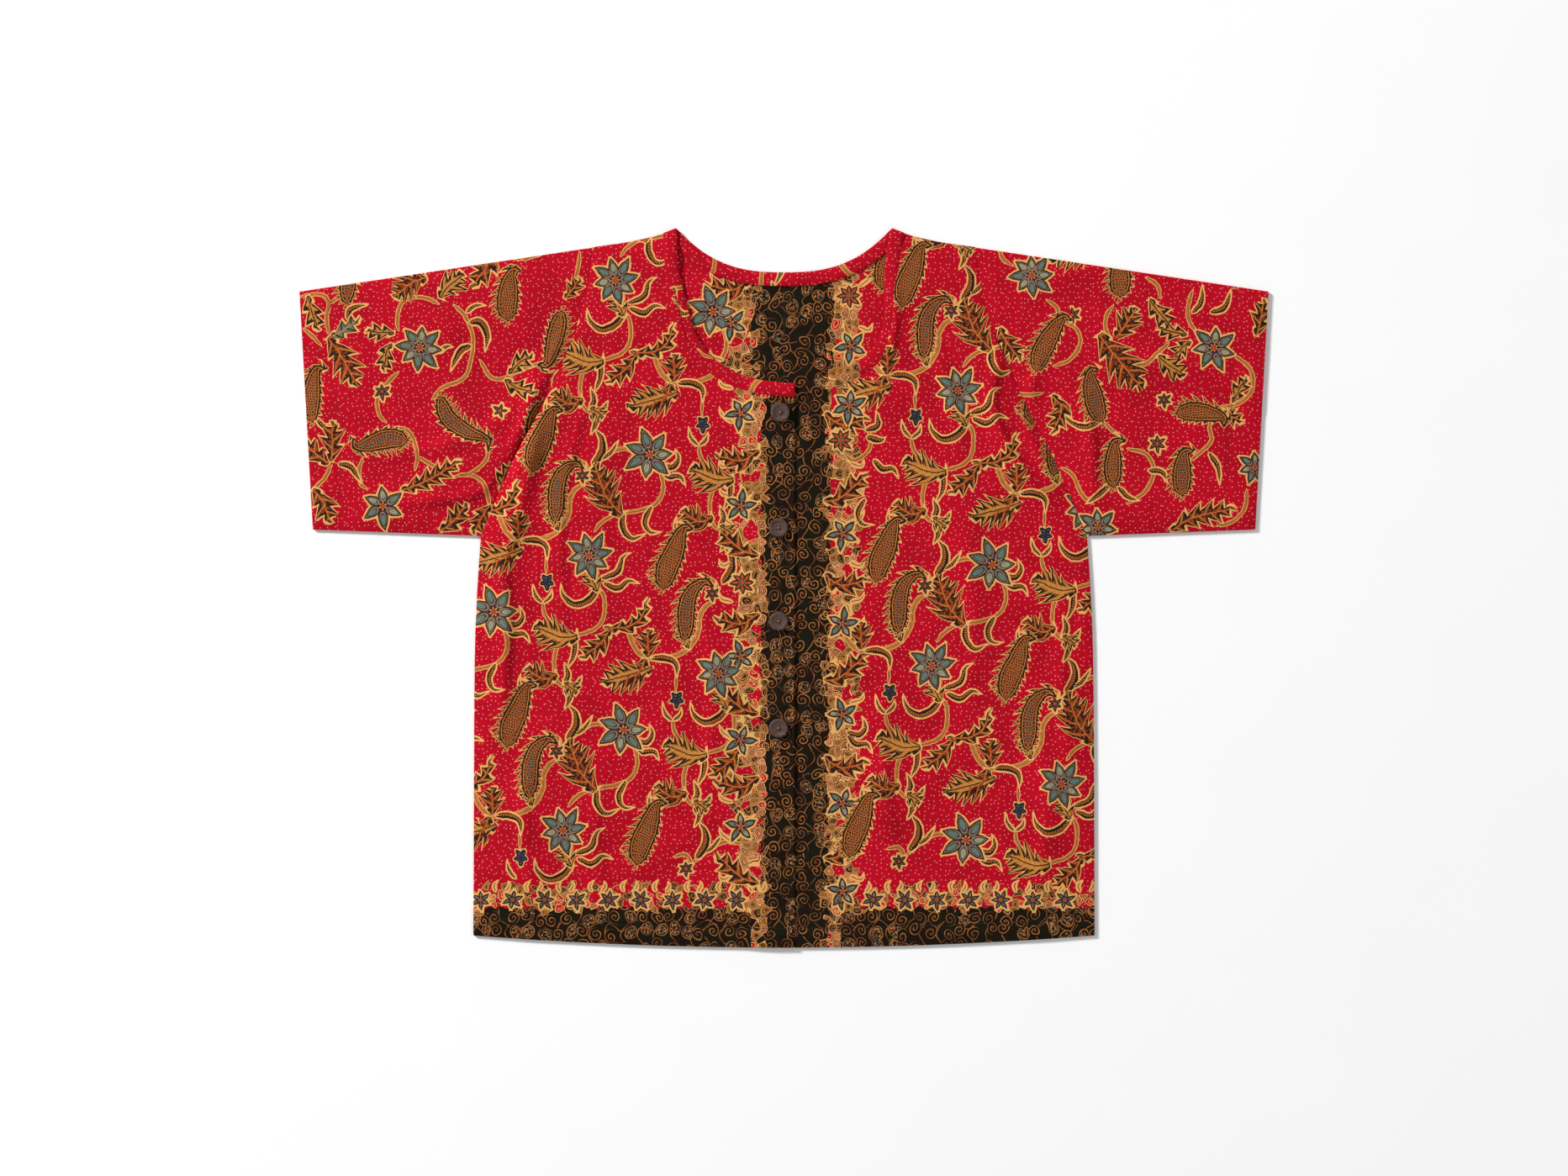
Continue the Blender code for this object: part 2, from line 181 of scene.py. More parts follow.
def mixed(under: "Signal | Dye", over: "Signal | Dye", share: Number, blend: str = "MIX") -> Signal:
    """One colour laid over another.

    Args:
        under: The colour where share is 0.
        over: The colour where share is 1.
        share: How much of the upper colour shows.
        blend: How the two are put together.

    Returns:
        The colour between them.
    """
    tree = share.tree if isinstance(share, Signal) else over.tree
    node = tree.nodes.new("ShaderNodeMix")
    node.data_type, node.blend_type = "RGBA", blend
    for slot, value in (("Factor", share), (6, under), (7, over)):
        feed(tree, node.inputs[slot], value)
    return Signal(tree, node.outputs[2])


def layered(base: "Signal | Dye", *coats: tuple["Signal | Dye", Signal]) -> Signal:
    """A base colour with coats of (colour, mask) laid over it in order."""
    colour = base
    for coat, mask in coats:
        colour = mixed(colour, coat, mask)
    return colour


def mixed_number(under: Signal, over: Signal, share: Signal) -> Signal:
    """One number where the share is 0, the other where it is 1."""
    return under + (over - under) * share


def vector_math(operation: str, *vectors: object) -> Signal:
    """Adds a Vector Math node, whose first vector is a signal, and returns its result."""
    tree = vectors[0].tree
    node = tree.nodes.new("ShaderNodeVectorMath")
    node.operation = operation
    for socket, value in zip(node.inputs, vectors):
        feed(tree, socket, value)
    return Signal(tree, node.outputs[0])


def strayed(place: Signal, astray: Signal, reach: float) -> Signal:
    """A place moved across the cloth by soft noise, as a hand that draws strays."""
    return vector_math("MULTIPLY_ADD", astray, (reach, reach, 0), place)


def parts_of(vector: Signal) -> tuple[Signal, Signal, Signal]:
    """The three numbers of a vector."""
    node = vector.tree.nodes.new("ShaderNodeSeparateXYZ")
    feed(vector.tree, node.inputs[0], vector)
    return tuple(Signal(vector.tree, out) for out in node.outputs)


def vector_of(*numbers: Signal) -> Signal:
    """A vector made of three numbers."""
    tree = numbers[0].tree
    node = tree.nodes.new("ShaderNodeCombineXYZ")
    for socket, number in zip(node.inputs, numbers):
        feed(tree, socket, number)
    return Signal(tree, node.outputs[0])


@dataclass(frozen=True)
class Speckle:
    """One noise or cell texture, read at a place.

    Attributes:
        scale: Features to a metre, or to a unit of the place.
        detail: Octaves of the noise.
        randomness: How far the cells stray from a grid.
    """

    scale: float
    detail: float = 2.0
    randomness: float = 1.0

    def texture(self, place: Signal, kind: str, setting: str) -> bpy.types.Node:
        """Adds a texture node of a kind that reads a place, with its scale and one more setting."""
        node = place.tree.nodes.new("ShaderNodeTex" + kind)
        for name, value in (("Vector", place), ("Scale", self.scale),
                            (setting, getattr(self, setting.lower()))):
            feed(place.tree, node.inputs[name], value)
        return node

    def noise(self, place: Signal) -> Signal:
        """Soft noise from 0 to 1."""
        return Signal(place.tree, self.texture(place, "Noise", "Detail").outputs[0])

    def noise_vector(self, place: Signal) -> Signal:
        """Soft noise from about -0.5 to 0.5 in each direction."""
        colour = Signal(place.tree, self.texture(place, "Noise", "Detail").outputs["Color"])
        return vector_math("SUBTRACT", colour, (0.5, 0.5, 0.5))

    def cells(self, place: Signal, feature: str = "F1") -> list[Signal]:
        """Cells in the plane: the distance from their feature, the cell's chance colour and its point."""
        node = self.texture(place, "Voronoi", "Randomness")
        node.voronoi_dimensions, node.feature = "2D", feature
        return [Signal(place.tree, node.outputs[name]) for name in ("Distance", "Color", "Position")
                if name in node.outputs]


class Layer(Enum):
    """The order in which motifs lie over each other, lowest first."""

    VINE = 0
    HORN = 1
    LEAF = 2
    BLOOM = 3

    def own(self, what: str) -> str:
        """The name of an attribute that belongs to this layer."""
        return f"{self.name.lower()}_{what}"


class Motif(Enum):
    """What a mark of the print is."""

    VINE = "vine"
    HORN = "horn"
    LEAF = "leaf"
    FLOWER = "flower"
    PAISLEY = "paisley"
    BERRY = "berry"

    @property
    def layer(self) -> Layer:
        """The layer that it is printed in."""
        own = {Motif.VINE: Layer.VINE, Motif.HORN: Layer.HORN, Motif.LEAF: Layer.LEAF}
        return own.get(self, Layer.BLOOM)

    @property
    def is_round(self) -> bool:
        """True if it is drawn round a centre, and not along a path."""
        return self in (Motif.FLOWER, Motif.BERRY)


class Tint(Enum):
    """Which set of dyes a motif is filled with."""

    DARK = 0.0
    WARM = 1.0
    LACE = 2.0
    TEAL = 3.0


# Curves and heights, with numpy

FAR_OFF = 1e3
ABOVE_ALL = 0.1


def spline(points: Sequence[Point], steps: int = 6) -> np.ndarray:
    """A smooth line through points of the photograph.

    Args:
        points: Places in photo pixels.
        steps: How many pieces each span is cut into.

    Returns:
        The line's points on the shirt, in metres, one a row.
    """
    knots = np.array([photo_point(*point) for point in points])
    if len(knots) == 2:
        return knots[0] + np.linspace(0, 1, 4)[:, None] * (knots[1] - knots[0])
    knots = np.vstack([2 * knots[0] - knots[1], knots, 2 * knots[-1] - knots[-2]])
    line = [knots[1]]
    for a, b, c, d in zip(knots, knots[1:], knots[2:], knots[3:]):
        for step in range(1, steps + 1):
            t = step / steps
            line.append(0.5 * (2 * b + (c - a) * t + (2 * a - 5 * b + 4 * c - d) * t * t
                               + (3 * b - a - 3 * c + d) * t ** 3))
    return np.array(line)


class Spine:
    """A line in the plane, with the distance along it and beside it of any point."""

    def __init__(self, points: np.ndarray) -> None:
        """Measures the line's steps."""
        self.points = points
        self.steps = np.diff(points, axis=0)
        self.lengths = np.maximum(np.linalg.norm(self.steps, axis=1), 1e-9)
        self.starts = np.concatenate([[0], np.cumsum(self.lengths)])[:-1]
        self.length = float(self.lengths.sum())

    def nearest(self, places: np.ndarray, around: np.ndarray | None = None,
                window: int = 3) -> tuple[np.ndarray, np.ndarray, np.ndarray]:
        """Where each place stands beside the line, whose ends run on straight.

        Args:
            places: Points of the plane, one a row.
            around: The step that each place has to stay near, where given.
            window: How many steps from it the answer may be.

        Returns:
            The distance along the line, the signed distance to its left, and the step's number.
        """
        number = np.arange(len(self.steps))
        offset = places[:, None, :] - self.points[None, :-1, :]
        low = np.where(number == 0, -FAR_OFF, 0.0)
        high = np.where(number == number[-1], FAR_OFF, 1.0)
        share = np.clip((offset * self.steps).sum(2) / self.lengths ** 2, low, high)
        away = offset - share[..., None] * self.steps
        distance = np.linalg.norm(away, axis=2)
        if around is not None:
            distance = distance + FAR_OFF * (abs(number - around[:, None]) > window)
        step = distance.argmin(1)
        rows = np.arange(len(places))
        chosen = offset[rows, step]
        heading = self.steps[step]
        side = np.sign(heading[:, 0] * chosen[:, 1] - heading[:, 1] * chosen[:, 0])
        along = self.starts[step] + share[rows, step] * self.lengths[step]
        return along, side * np.linalg.norm(away[rows, step], axis=1), step

    def share(self, along: np.ndarray) -> np.ndarray:
        """How much of the line lies before each distance along it, from 0 to 1."""
        return np.clip(along / self.length, 0, 1)

    def past_ends(self, along: np.ndarray) -> np.ndarray:
        """How far each distance along the line is past either end."""
        return np.maximum(0, np.maximum(-along, along - self.length))


@dataclass(frozen=True)
class Crease:
    """A soft ridge, or a trough where its height is negative.

    Attributes:
        path: Photo pixels along its crest.
        width: Half its width, in millimetres.
        height: Its height in millimetres.
        lean: How much steeper its left side is than its right.
    """

    path: tuple[Point, ...]
    width: float
    height: float
    lean: float = 0.0

    def lift(self, places: np.ndarray) -> np.ndarray:
        """How far it raises each place, in metres."""
        spine = Spine(spline(self.path))
        along, beside, _ = spine.nearest(places)
        width = self.width * MM * (1 - self.lean * np.sign(beside))
        away = np.hypot(beside / width, spine.past_ends(along) / (self.width * MM))
        swell = np.sin(np.pi * (0.06 + 0.88 * spine.share(along)))
        return CREASE_STRENGTH * self.height * MM * swell * np.exp(-1.3 * away ** 2)


def waviness(places: np.ndarray, size: float, seed: float) -> np.ndarray:
    """Soft noise from about -1 to 1 whose waves are this long, in metres."""
    return np.array([noise.noise(Vector((x / size, y / size, seed))) for x, y in places])


def is_inside(places: np.ndarray, loop: np.ndarray) -> np.ndarray:
    """True for each place inside a closed outline."""
    found = np.zeros(len(places), bool)
    for (ax, ay), (bx, by) in zip(loop, np.roll(loop, -1, axis=0)):
        if ay == by:
            continue
        spans = (ay > places[:, 1]) != (by > places[:, 1])
        found ^= spans & (places[:, 0] < ax + (bx - ax) * (places[:, 1] - ay) / (by - ay))
    return found


def closed(loop: np.ndarray) -> np.ndarray:
    """A loop with its first point again at its end."""
    return np.vstack([loop, loop[:1]])


def edge_gap(places: np.ndarray, loop: np.ndarray) -> np.ndarray:
    """The distance from each place to a closed outline."""
    best = np.full(len(places), FAR_OFF)
    for start, end in zip(closed(loop), closed(loop)[1:]):
        step = end - start
        share = np.clip(((places - start) @ step) / max(step @ step, 1e-12), 0, 1)
        best = np.minimum(best, np.linalg.norm(places - start - share[:, None] * step, axis=1))
    return best


def evened(line: np.ndarray, spacing: float) -> np.ndarray:
    """A line cut into equal steps of about this length, ends kept."""
    lengths = np.concatenate([[0], np.cumsum(np.linalg.norm(np.diff(line, axis=0), axis=1))])
    count = max(2, round(lengths[-1] / spacing) + 1)
    marks = np.linspace(0, lengths[-1], count)
    return np.column_stack([np.interp(marks, lengths, line[:, axis]) for axis in range(2)])


class Form:
    """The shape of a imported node: its upper outline, and its height at any place."""

    def __init__(self, *nodes: str) -> None:
        """Reads the nodes' meshes from the imported model."""
        corners, faces = [], []
        for node in nodes:
            mesh = bpy.data.objects[node].data
            start = len(corners)
            corners += [vertex.co.copy() for vertex in mesh.vertices]
            faces += [[start + index for index in polygon.vertices] for polygon in mesh.polygons]
        self.corners = np.array([tuple(corner) for corner in corners])
        self.faces = faces
        self.tree = BVHTree.FromPolygons(corners, faces)

    def outline(self, floor: float) -> np.ndarray:
        """The loop round the faces that look up and lie above a height, counter-clockwise from above."""
        keys = [tuple(np.round(corner, 6)) for corner in self.corners]
        sides: dict[tuple[tuple, tuple], None] = {}
        for face in self.faces:
            points = self.corners[face]
            normal = np.cross(points[1] - points[0], points[2] - points[0])
            if normal[2] <= 0.3 * np.linalg.norm(normal) or points[:, 2].min() < floor:
                continue
            for a, b in zip(face, face[1:] + face[:1]):
                if (keys[b], keys[a]) in sides:
                    del sides[keys[b], keys[a]]
                else:
                    sides[keys[a], keys[b]] = None
        following = dict(sides.keys())
        loops, left = [], set(following)
        while left:
            loop = [left.pop()]
            while following.get(loop[-1]) in left:
                loop.append(following[loop[-1]])
                left.remove(loop[-1])
            loops.append(loop)
        return np.array(max(loops, key=len))[:, :2]

    def heights(self, places: np.ndarray, missing: float) -> np.ndarray:
        """The height of the upper surface at each place, or the given height where there is none."""
        hits = [self.tree.ray_cast(Vector((x, y, ABOVE_ALL)), Vector((0, 0, -1)))[0] for x, y in places]
        return np.array([missing if hit is None else hit.z for hit in hits])


KEPT_SHARE = 0.4


def smoothed(values: np.ndarray, edges: np.ndarray, rounds: int) -> np.ndarray:
    """Values at mesh points, each drawn towards the mean of its neighbours a number of times."""
    count = len(values)
    degree = np.bincount(edges.ravel(), minlength=count)
    for _ in range(rounds):
        total = np.bincount(edges[:, 0], values[edges[:, 1]], count)
        total += np.bincount(edges[:, 1], values[edges[:, 0]], count)
        values = KEPT_SHARE * values + (1 - KEPT_SHARE) * total / np.maximum(degree, 1)
    return values


# The cut pieces as fine shells of cloth

@dataclass(frozen=True)
class Cloth:
    """The cotton that the shirt is cut from.

    Attributes:
        thickness: Between its two sides, in metres.
        rim: The distances from an edge, in metres, at which its pieces have rows of points.
        roll: How far the edge itself is drawn down, in metres.
        roll_width: How far in from the edge that reaches.
    """

    thickness: float = 0.9 * MM
    rim: tuple[float, ...] = (0.5 * MM, 1.3 * MM)
    roll: float = 0.35 * MM
    roll_width: float = 2.6 * MM


COTTON = Cloth()
CREASE_STRENGTH = 2.5
CREASES = (
    Crease(((640, 430), (624, 520), (602, 630)), 5, 1.5, 0.3),
    Crease(((672, 395), (640, 470), (628, 560), (596, 690)), 6, 1.2, -0.3),
    Crease(((700, 470), (668, 600), (672, 760)), 8, 0.9, 0.4),
    Crease(((596, 560), (560, 590), (470, 600)), 6, 0.9, 0.2),
    Crease(((632, 470), (560, 520), (450, 545)), 8, 0.9, -0.2),
    Crease(((590, 640), (604, 720), (598, 860)), 6, 1.0, 0.2),
    Crease(((640, 880), (622, 980), (640, 1090)), 9, 0.8, 0.0),
    Crease(((720, 900), (708, 1000), (724, 1100)), 9, 0.6, 0.3),
    Crease(((818, 300), (806, 360), (826, 430)), 6, 0.8, 0.2),
    Crease(((836, 700), (846, 820), (838, 980)), 8, 0.6, -0.3),
    Crease(((1068, 330), (1062, 400), (1048, 470)), 5, 1.0, 0.2),
    Crease(((1100, 380), (1130, 470), (1150, 560)), 7, 0.8, 0.0),
    Crease(((1200, 400), (1180, 480), (1216, 560), (1268, 622)), 6, 1.3, 0.3),
    Crease(((1236, 420), (1222, 500), (1262, 590)), 6, 1.0, -0.2),
    Crease(((1290, 470), (1300, 540), (1298, 600)), 6, 0.9, 0.1),
    Crease(((1330, 440), (1400, 430), (1470, 450)), 9, 0.6, 0.1),
    Crease(((1270, 700), (1262, 800), (1276, 930)), 7, 0.7, 0.2),
    Crease(((1232, 860), (1246, 960), (1230, 1085)), 9, 0.7, 0.0),
    Crease(((1060, 760), (1050, 900), (1066, 1050)), 9, 0.7, 0.3),
    Crease(((1150, 620), (1160, 740), (1150, 850)), 9, 0.5, 0.0),
)
SOFT_WAVES = ((52 * MM, 0.6 * MM, 3.1), (19 * MM, 0.22 * MM, 8.4))
EDGE_CALM = 9 * MM
SMOOTH_ROUNDS = 14
SHARP_TURN = math.radians(50)
BUTTON_CALM = 8 * MM


def soft_waves(places: np.ndarray) -> np.ndarray:
    """How far the cloth's soft waves raise each place, in metres."""
    return sum(height * (1 + waviness(places, size, seed)) for size, height, seed in SOFT_WAVES)


@dataclass(frozen=True)
class Hem:
    """A row of stitching beside an edge of a piece, which draws the cloth down a little.

    Attributes:
        facing: The direction, seen from above, in which the edge looks.
        inset: From the edge to the stitches, in metres.
        beyond: How far out along that direction the edge lies at least, in metres.
        dip: How deep the stitches lie. Below 0, the edge stands up.
        reach: Half the width of the dip.
        sewn: Whether it has stitches.
    """

    facing: Point
    inset: float
    beyond: float = -1.0
    dip: float = 0.28 * MM
    reach: float = 1.5 * MM
    sewn: bool = True

    def line(self, outline: np.ndarray) -> np.ndarray:
        """The stitches' line, from the piece's outline, counter-clockwise."""
        normal = outward(outline)
        found = (normal @ self.facing > 0.86) & (outline @ self.facing > self.beyond)
        first = int(np.flatnonzero(found & ~np.roll(found, 1))[0])
        order = (np.arange(len(outline)) + first) % len(outline)
        order = order[found[order]]
        return (outline - normal * self.inset)[order]

    def groove(self, places: np.ndarray, outline: np.ndarray) -> np.ndarray:
        """How far the stitches lower each place."""
        spine = Spine(self.line(outline))
        along, beside, _ = spine.nearest(places)
        taper = 1.0 if self.sewn else np.sin(np.pi * spine.share(along)) ** 0.8
        return self.dip * taper * np.exp(-(np.hypot(beside, spine.past_ends(along)) / self.reach) ** 2)


def calm(places: np.ndarray) -> np.ndarray:
    """0 under the buttons, 1 a little way off them."""
    middles = [np.mean(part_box(f"button_{number}"), axis=0)[:2] for number in range(1, 5)]
    away = np.min([np.linalg.norm(places - middle, axis=1) for middle in middles], axis=0)
    return np.clip((away - BUTTON_CALM) / EDGE_CALM, 0, 1)


@dataclass
class CutPiece:
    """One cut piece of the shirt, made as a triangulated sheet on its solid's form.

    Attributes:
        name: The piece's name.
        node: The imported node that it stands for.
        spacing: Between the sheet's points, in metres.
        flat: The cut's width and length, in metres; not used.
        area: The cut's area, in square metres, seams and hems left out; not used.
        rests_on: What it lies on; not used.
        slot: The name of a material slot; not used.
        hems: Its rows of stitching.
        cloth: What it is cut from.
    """

    name: str
    node: str
    spacing: float
    flat: Point
    area: float
    rests_on: tuple[str, ...] = ()
    slot: str = "batik_cloth"
    hems: tuple[Hem, ...] = ()
    cloth: Cloth = COTTON

    def plan(self, form: Form) -> tuple[np.ndarray, np.ndarray]:
        """Points over the piece seen from above, the outline's own first, and the outline."""
        rough = form.outline(0.0)
        corners = self.corners_of(rough)
        loop = []
        for start, end in zip(corners, corners[1:] + corners[:1]):
            stretch = rough[start:end + 1] if end > start else np.vstack([rough[start:], rough[:end + 1]])
            loop.append(evened(stretch, self.spacing * 0.8)[:-1])
        outline = np.vstack(loop)
        inner = [inset_points(outline, distance) for distance in self.cloth.rim]
        low, high = outline.min(0), outline.max(0)
        row = self.spacing * math.sqrt(3) / 2
        xs = np.arange(low[0], high[0] + self.spacing, self.spacing)
        grid = np.array([(x + (index % 2) * self.spacing / 2, y)
                         for index, y in enumerate(np.arange(low[1], high[1], row)) for x in xs])
        grid = grid[is_inside(grid, outline)]
        grid = grid[edge_gap(grid, outline) > self.cloth.rim[-1] + 0.55 * self.spacing]
        return np.vstack([outline, *inner, grid]), outline

    @staticmethod
    def corners_of(loop: np.ndarray, turn: float = 28.0) -> list[int]:
        """The numbers of a loop's points where it turns by more than this many degrees."""
        before, after = loop - np.roll(loop, 1, axis=0), np.roll(loop, -1, axis=0) - loop
        angle = np.arctan2(before[:, 0] * after[:, 1] - before[:, 1] * after[:, 0], (before * after).sum(1))
        return [int(index) for index in np.flatnonzero(abs(np.degrees(angle)) > turn)]

    def height(self, form: Form, places: np.ndarray) -> np.ndarray:
        """The height of the cloth's middle at each place."""
        return form.heights(places, np.nan) - self.cloth.thickness / 2

    def crumple(self, places: np.ndarray, gap: np.ndarray) -> np.ndarray:
        """What creases and soft waves add to the height, dying away at folded and sewn edges."""
        lift = sum(crease.lift(places) for crease in CREASES) + soft_waves(places)
        return lift * calm(places) * np.clip(gap / EDGE_CALM, 0, 1) ** 1.2

    def build(self) -> bpy.types.Object:
        """Makes the sheet, gives it its thickness and returns the finished object."""
        form = Form(self.node)
        points, outline = self.plan(form)
        places, faces = filled(points, list(range(len(outline))))
        edges = np.array([(a, b) for face in faces for a, b in zip(face, face[1:] + face[:1])])
        gap = edge_gap(places, outline)
        z = self.height(form, places)
        known = np.flatnonzero(~np.isnan(z))
        for index in np.flatnonzero(np.isnan(z)):
            z[index] = z[known[np.linalg.norm(places[known] - places[index], axis=1).argmin()]]
        z = smoothed(z, edges, SMOOTH_ROUNDS) + self.crumple(places, gap)
        z -= self.cloth.roll * (1 - np.clip(gap / self.cloth.roll_width, 0, 1)) ** 2
        z -= sum(hem.groove(places, outline) for hem in self.hems)
        made = new_mesh(self.name, np.column_stack([places, z]), faces)
        return thickened(made, self.cloth.thickness, places)

    def seams(self) -> list[np.ndarray]:
        """The lines of its stitches."""
        outline = evened(closed(Form(self.node).outline(0.0)), self.spacing)[:-1]
        return [hem.line(outline) for hem in self.hems if hem.sewn]


def filled(points: np.ndarray, loop: list[int]) -> tuple[np.ndarray, list[list[int]]]:
    """Fills an outline with triangles through all the points, each facing up."""
    verts, _, faces, *_ = delaunay_2d_cdt([Vector(point) for point in points], [], [loop], 1, 1e-7)
    places = np.array([tuple(vertex) for vertex in verts])
    turned = []
    for face in faces:
        a, b, c = places[face[0]], places[face[1]], places[face[2]]
        area = (b[0] - a[0]) * (c[1] - a[1]) - (b[1] - a[1]) * (c[0] - a[0])
        turned.append(list(face) if area > 0 else list(reversed(face)))
    return places, turned


def outward(outline: np.ndarray) -> np.ndarray:
    """The direction, one unit long, in which a counter-clockwise outline looks at each point."""
    ahead = np.roll(outline, -1, axis=0) - np.roll(outline, 1, axis=0)
    ahead /= np.linalg.norm(ahead, axis=1)[:, None]
    return np.column_stack([ahead[:, 1], -ahead[:, 0]])


def inset_points(outline: np.ndarray, distance: float) -> np.ndarray:
    """The outline's points moved inwards, without those that the move brings too close to the edge."""
    moved = outline - distance * outward(outline)
    return moved[is_inside(moved, outline) & (edge_gap(moved, outline) > 0.9 * distance)]


def linked(name: str, data: bpy.types.ID) -> bpy.types.Object:
    """A new object of the scene, at the origin, that holds some data."""
    made = bpy.data.objects.new(name, data)
    bpy.context.scene.collection.objects.link(made)
    return made


def new_mesh(name: str, points: np.ndarray, faces: Sequence[Sequence[int]]) -> bpy.types.Object:
    """A mesh object at the origin, made of points in metres and faces."""
    mesh = bpy.data.meshes.new(name)
    mesh.from_pydata(points.tolist(), [], [list(face) for face in faces])
    return linked(name, mesh)


def read(items: bpy.types.bpy_prop_collection, name: str, kind: type = int, size: int = 1) -> np.ndarray:
    """One property of all items of a mesh, as an array of so many numbers for each."""
    values = np.empty(len(items) * size, kind)
    items.foreach_get(name, values)
    return values


def select_only(made: bpy.types.Object) -> None:
    """Makes an object the only one selected, and the active one."""
    bpy.ops.object.select_all(action="DESELECT")
    made.select_set(True)
    bpy.context.view_layer.objects.active = made


def apply_modifiers(made: bpy.types.Object) -> None:
    """Applies every modifier of an object in order."""
    select_only(made)
    for modifier in list(made.modifiers):
        bpy.ops.object.modifier_apply(modifier=modifier.name)


def thickened(made: bpy.types.Object, thickness: float, plan: np.ndarray) -> bpy.types.Object:
    """Gives a sheet its thickness to both sides, and smooths its shading up to its rim.

    Args:
        made: The sheet.
        thickness: Between its sides, in metres.
        plan: Each point's place in the flat cloth.

    Returns:
        The same object, with its texture map laid out.
    """
    sheet = len(made.data.polygons)
    wall = made.modifiers.new("cloth", "SOLIDIFY")
    wall.thickness, wall.offset, wall.use_even_offset = thickness, 0, False
    apply_modifiers(made)
    select_only(made)
    bpy.ops.object.shade_smooth_by_angle(angle=SHARP_TURN)
    lay_out(made.data, sheet, plan)
    return made


def lay_out(mesh: bpy.types.Mesh, sheet: int, plan: np.ndarray) -> None:
    """Lays the cloth's two sides flat beside each other on its texture map, with the rim round them.

    Args:
        mesh: The cloth, its outer faces first, then as many inner ones, then its rim.
        sheet: How many faces one side has.
        plan: Each outer point's place in the flat cloth.
    """
    vertex, total = read(mesh.loops, "vertex_index"), read(mesh.polygons, "loop_total")
    face = np.repeat(np.arange(len(total)), total)
    places = np.vstack([plan, plan])[vertex]
    away = places - (plan.min(0) + plan.max(0)) / 2
    away /= np.linalg.norm(away, axis=1)[:, None] + 1e-9
    rim = face >= 2 * sheet
    places = places + away * (rim & (vertex >= len(plan)))[:, None] * 0.8 * MM
    low, high = plan.min(0) - 1.2 * MM, plan.max(0) + 1.2 * MM
    share = (places - low) / (high - low)
    across = share[:, 0] * 0.498 + np.where((face >= sheet) & ~rim, 0.501, 0.001)
    made = mesh.uv_layers.new(name="OFBake")
    made.uv.foreach_set("vector", np.column_stack([across, share[:, 1]]).astype(np.float32).ravel())


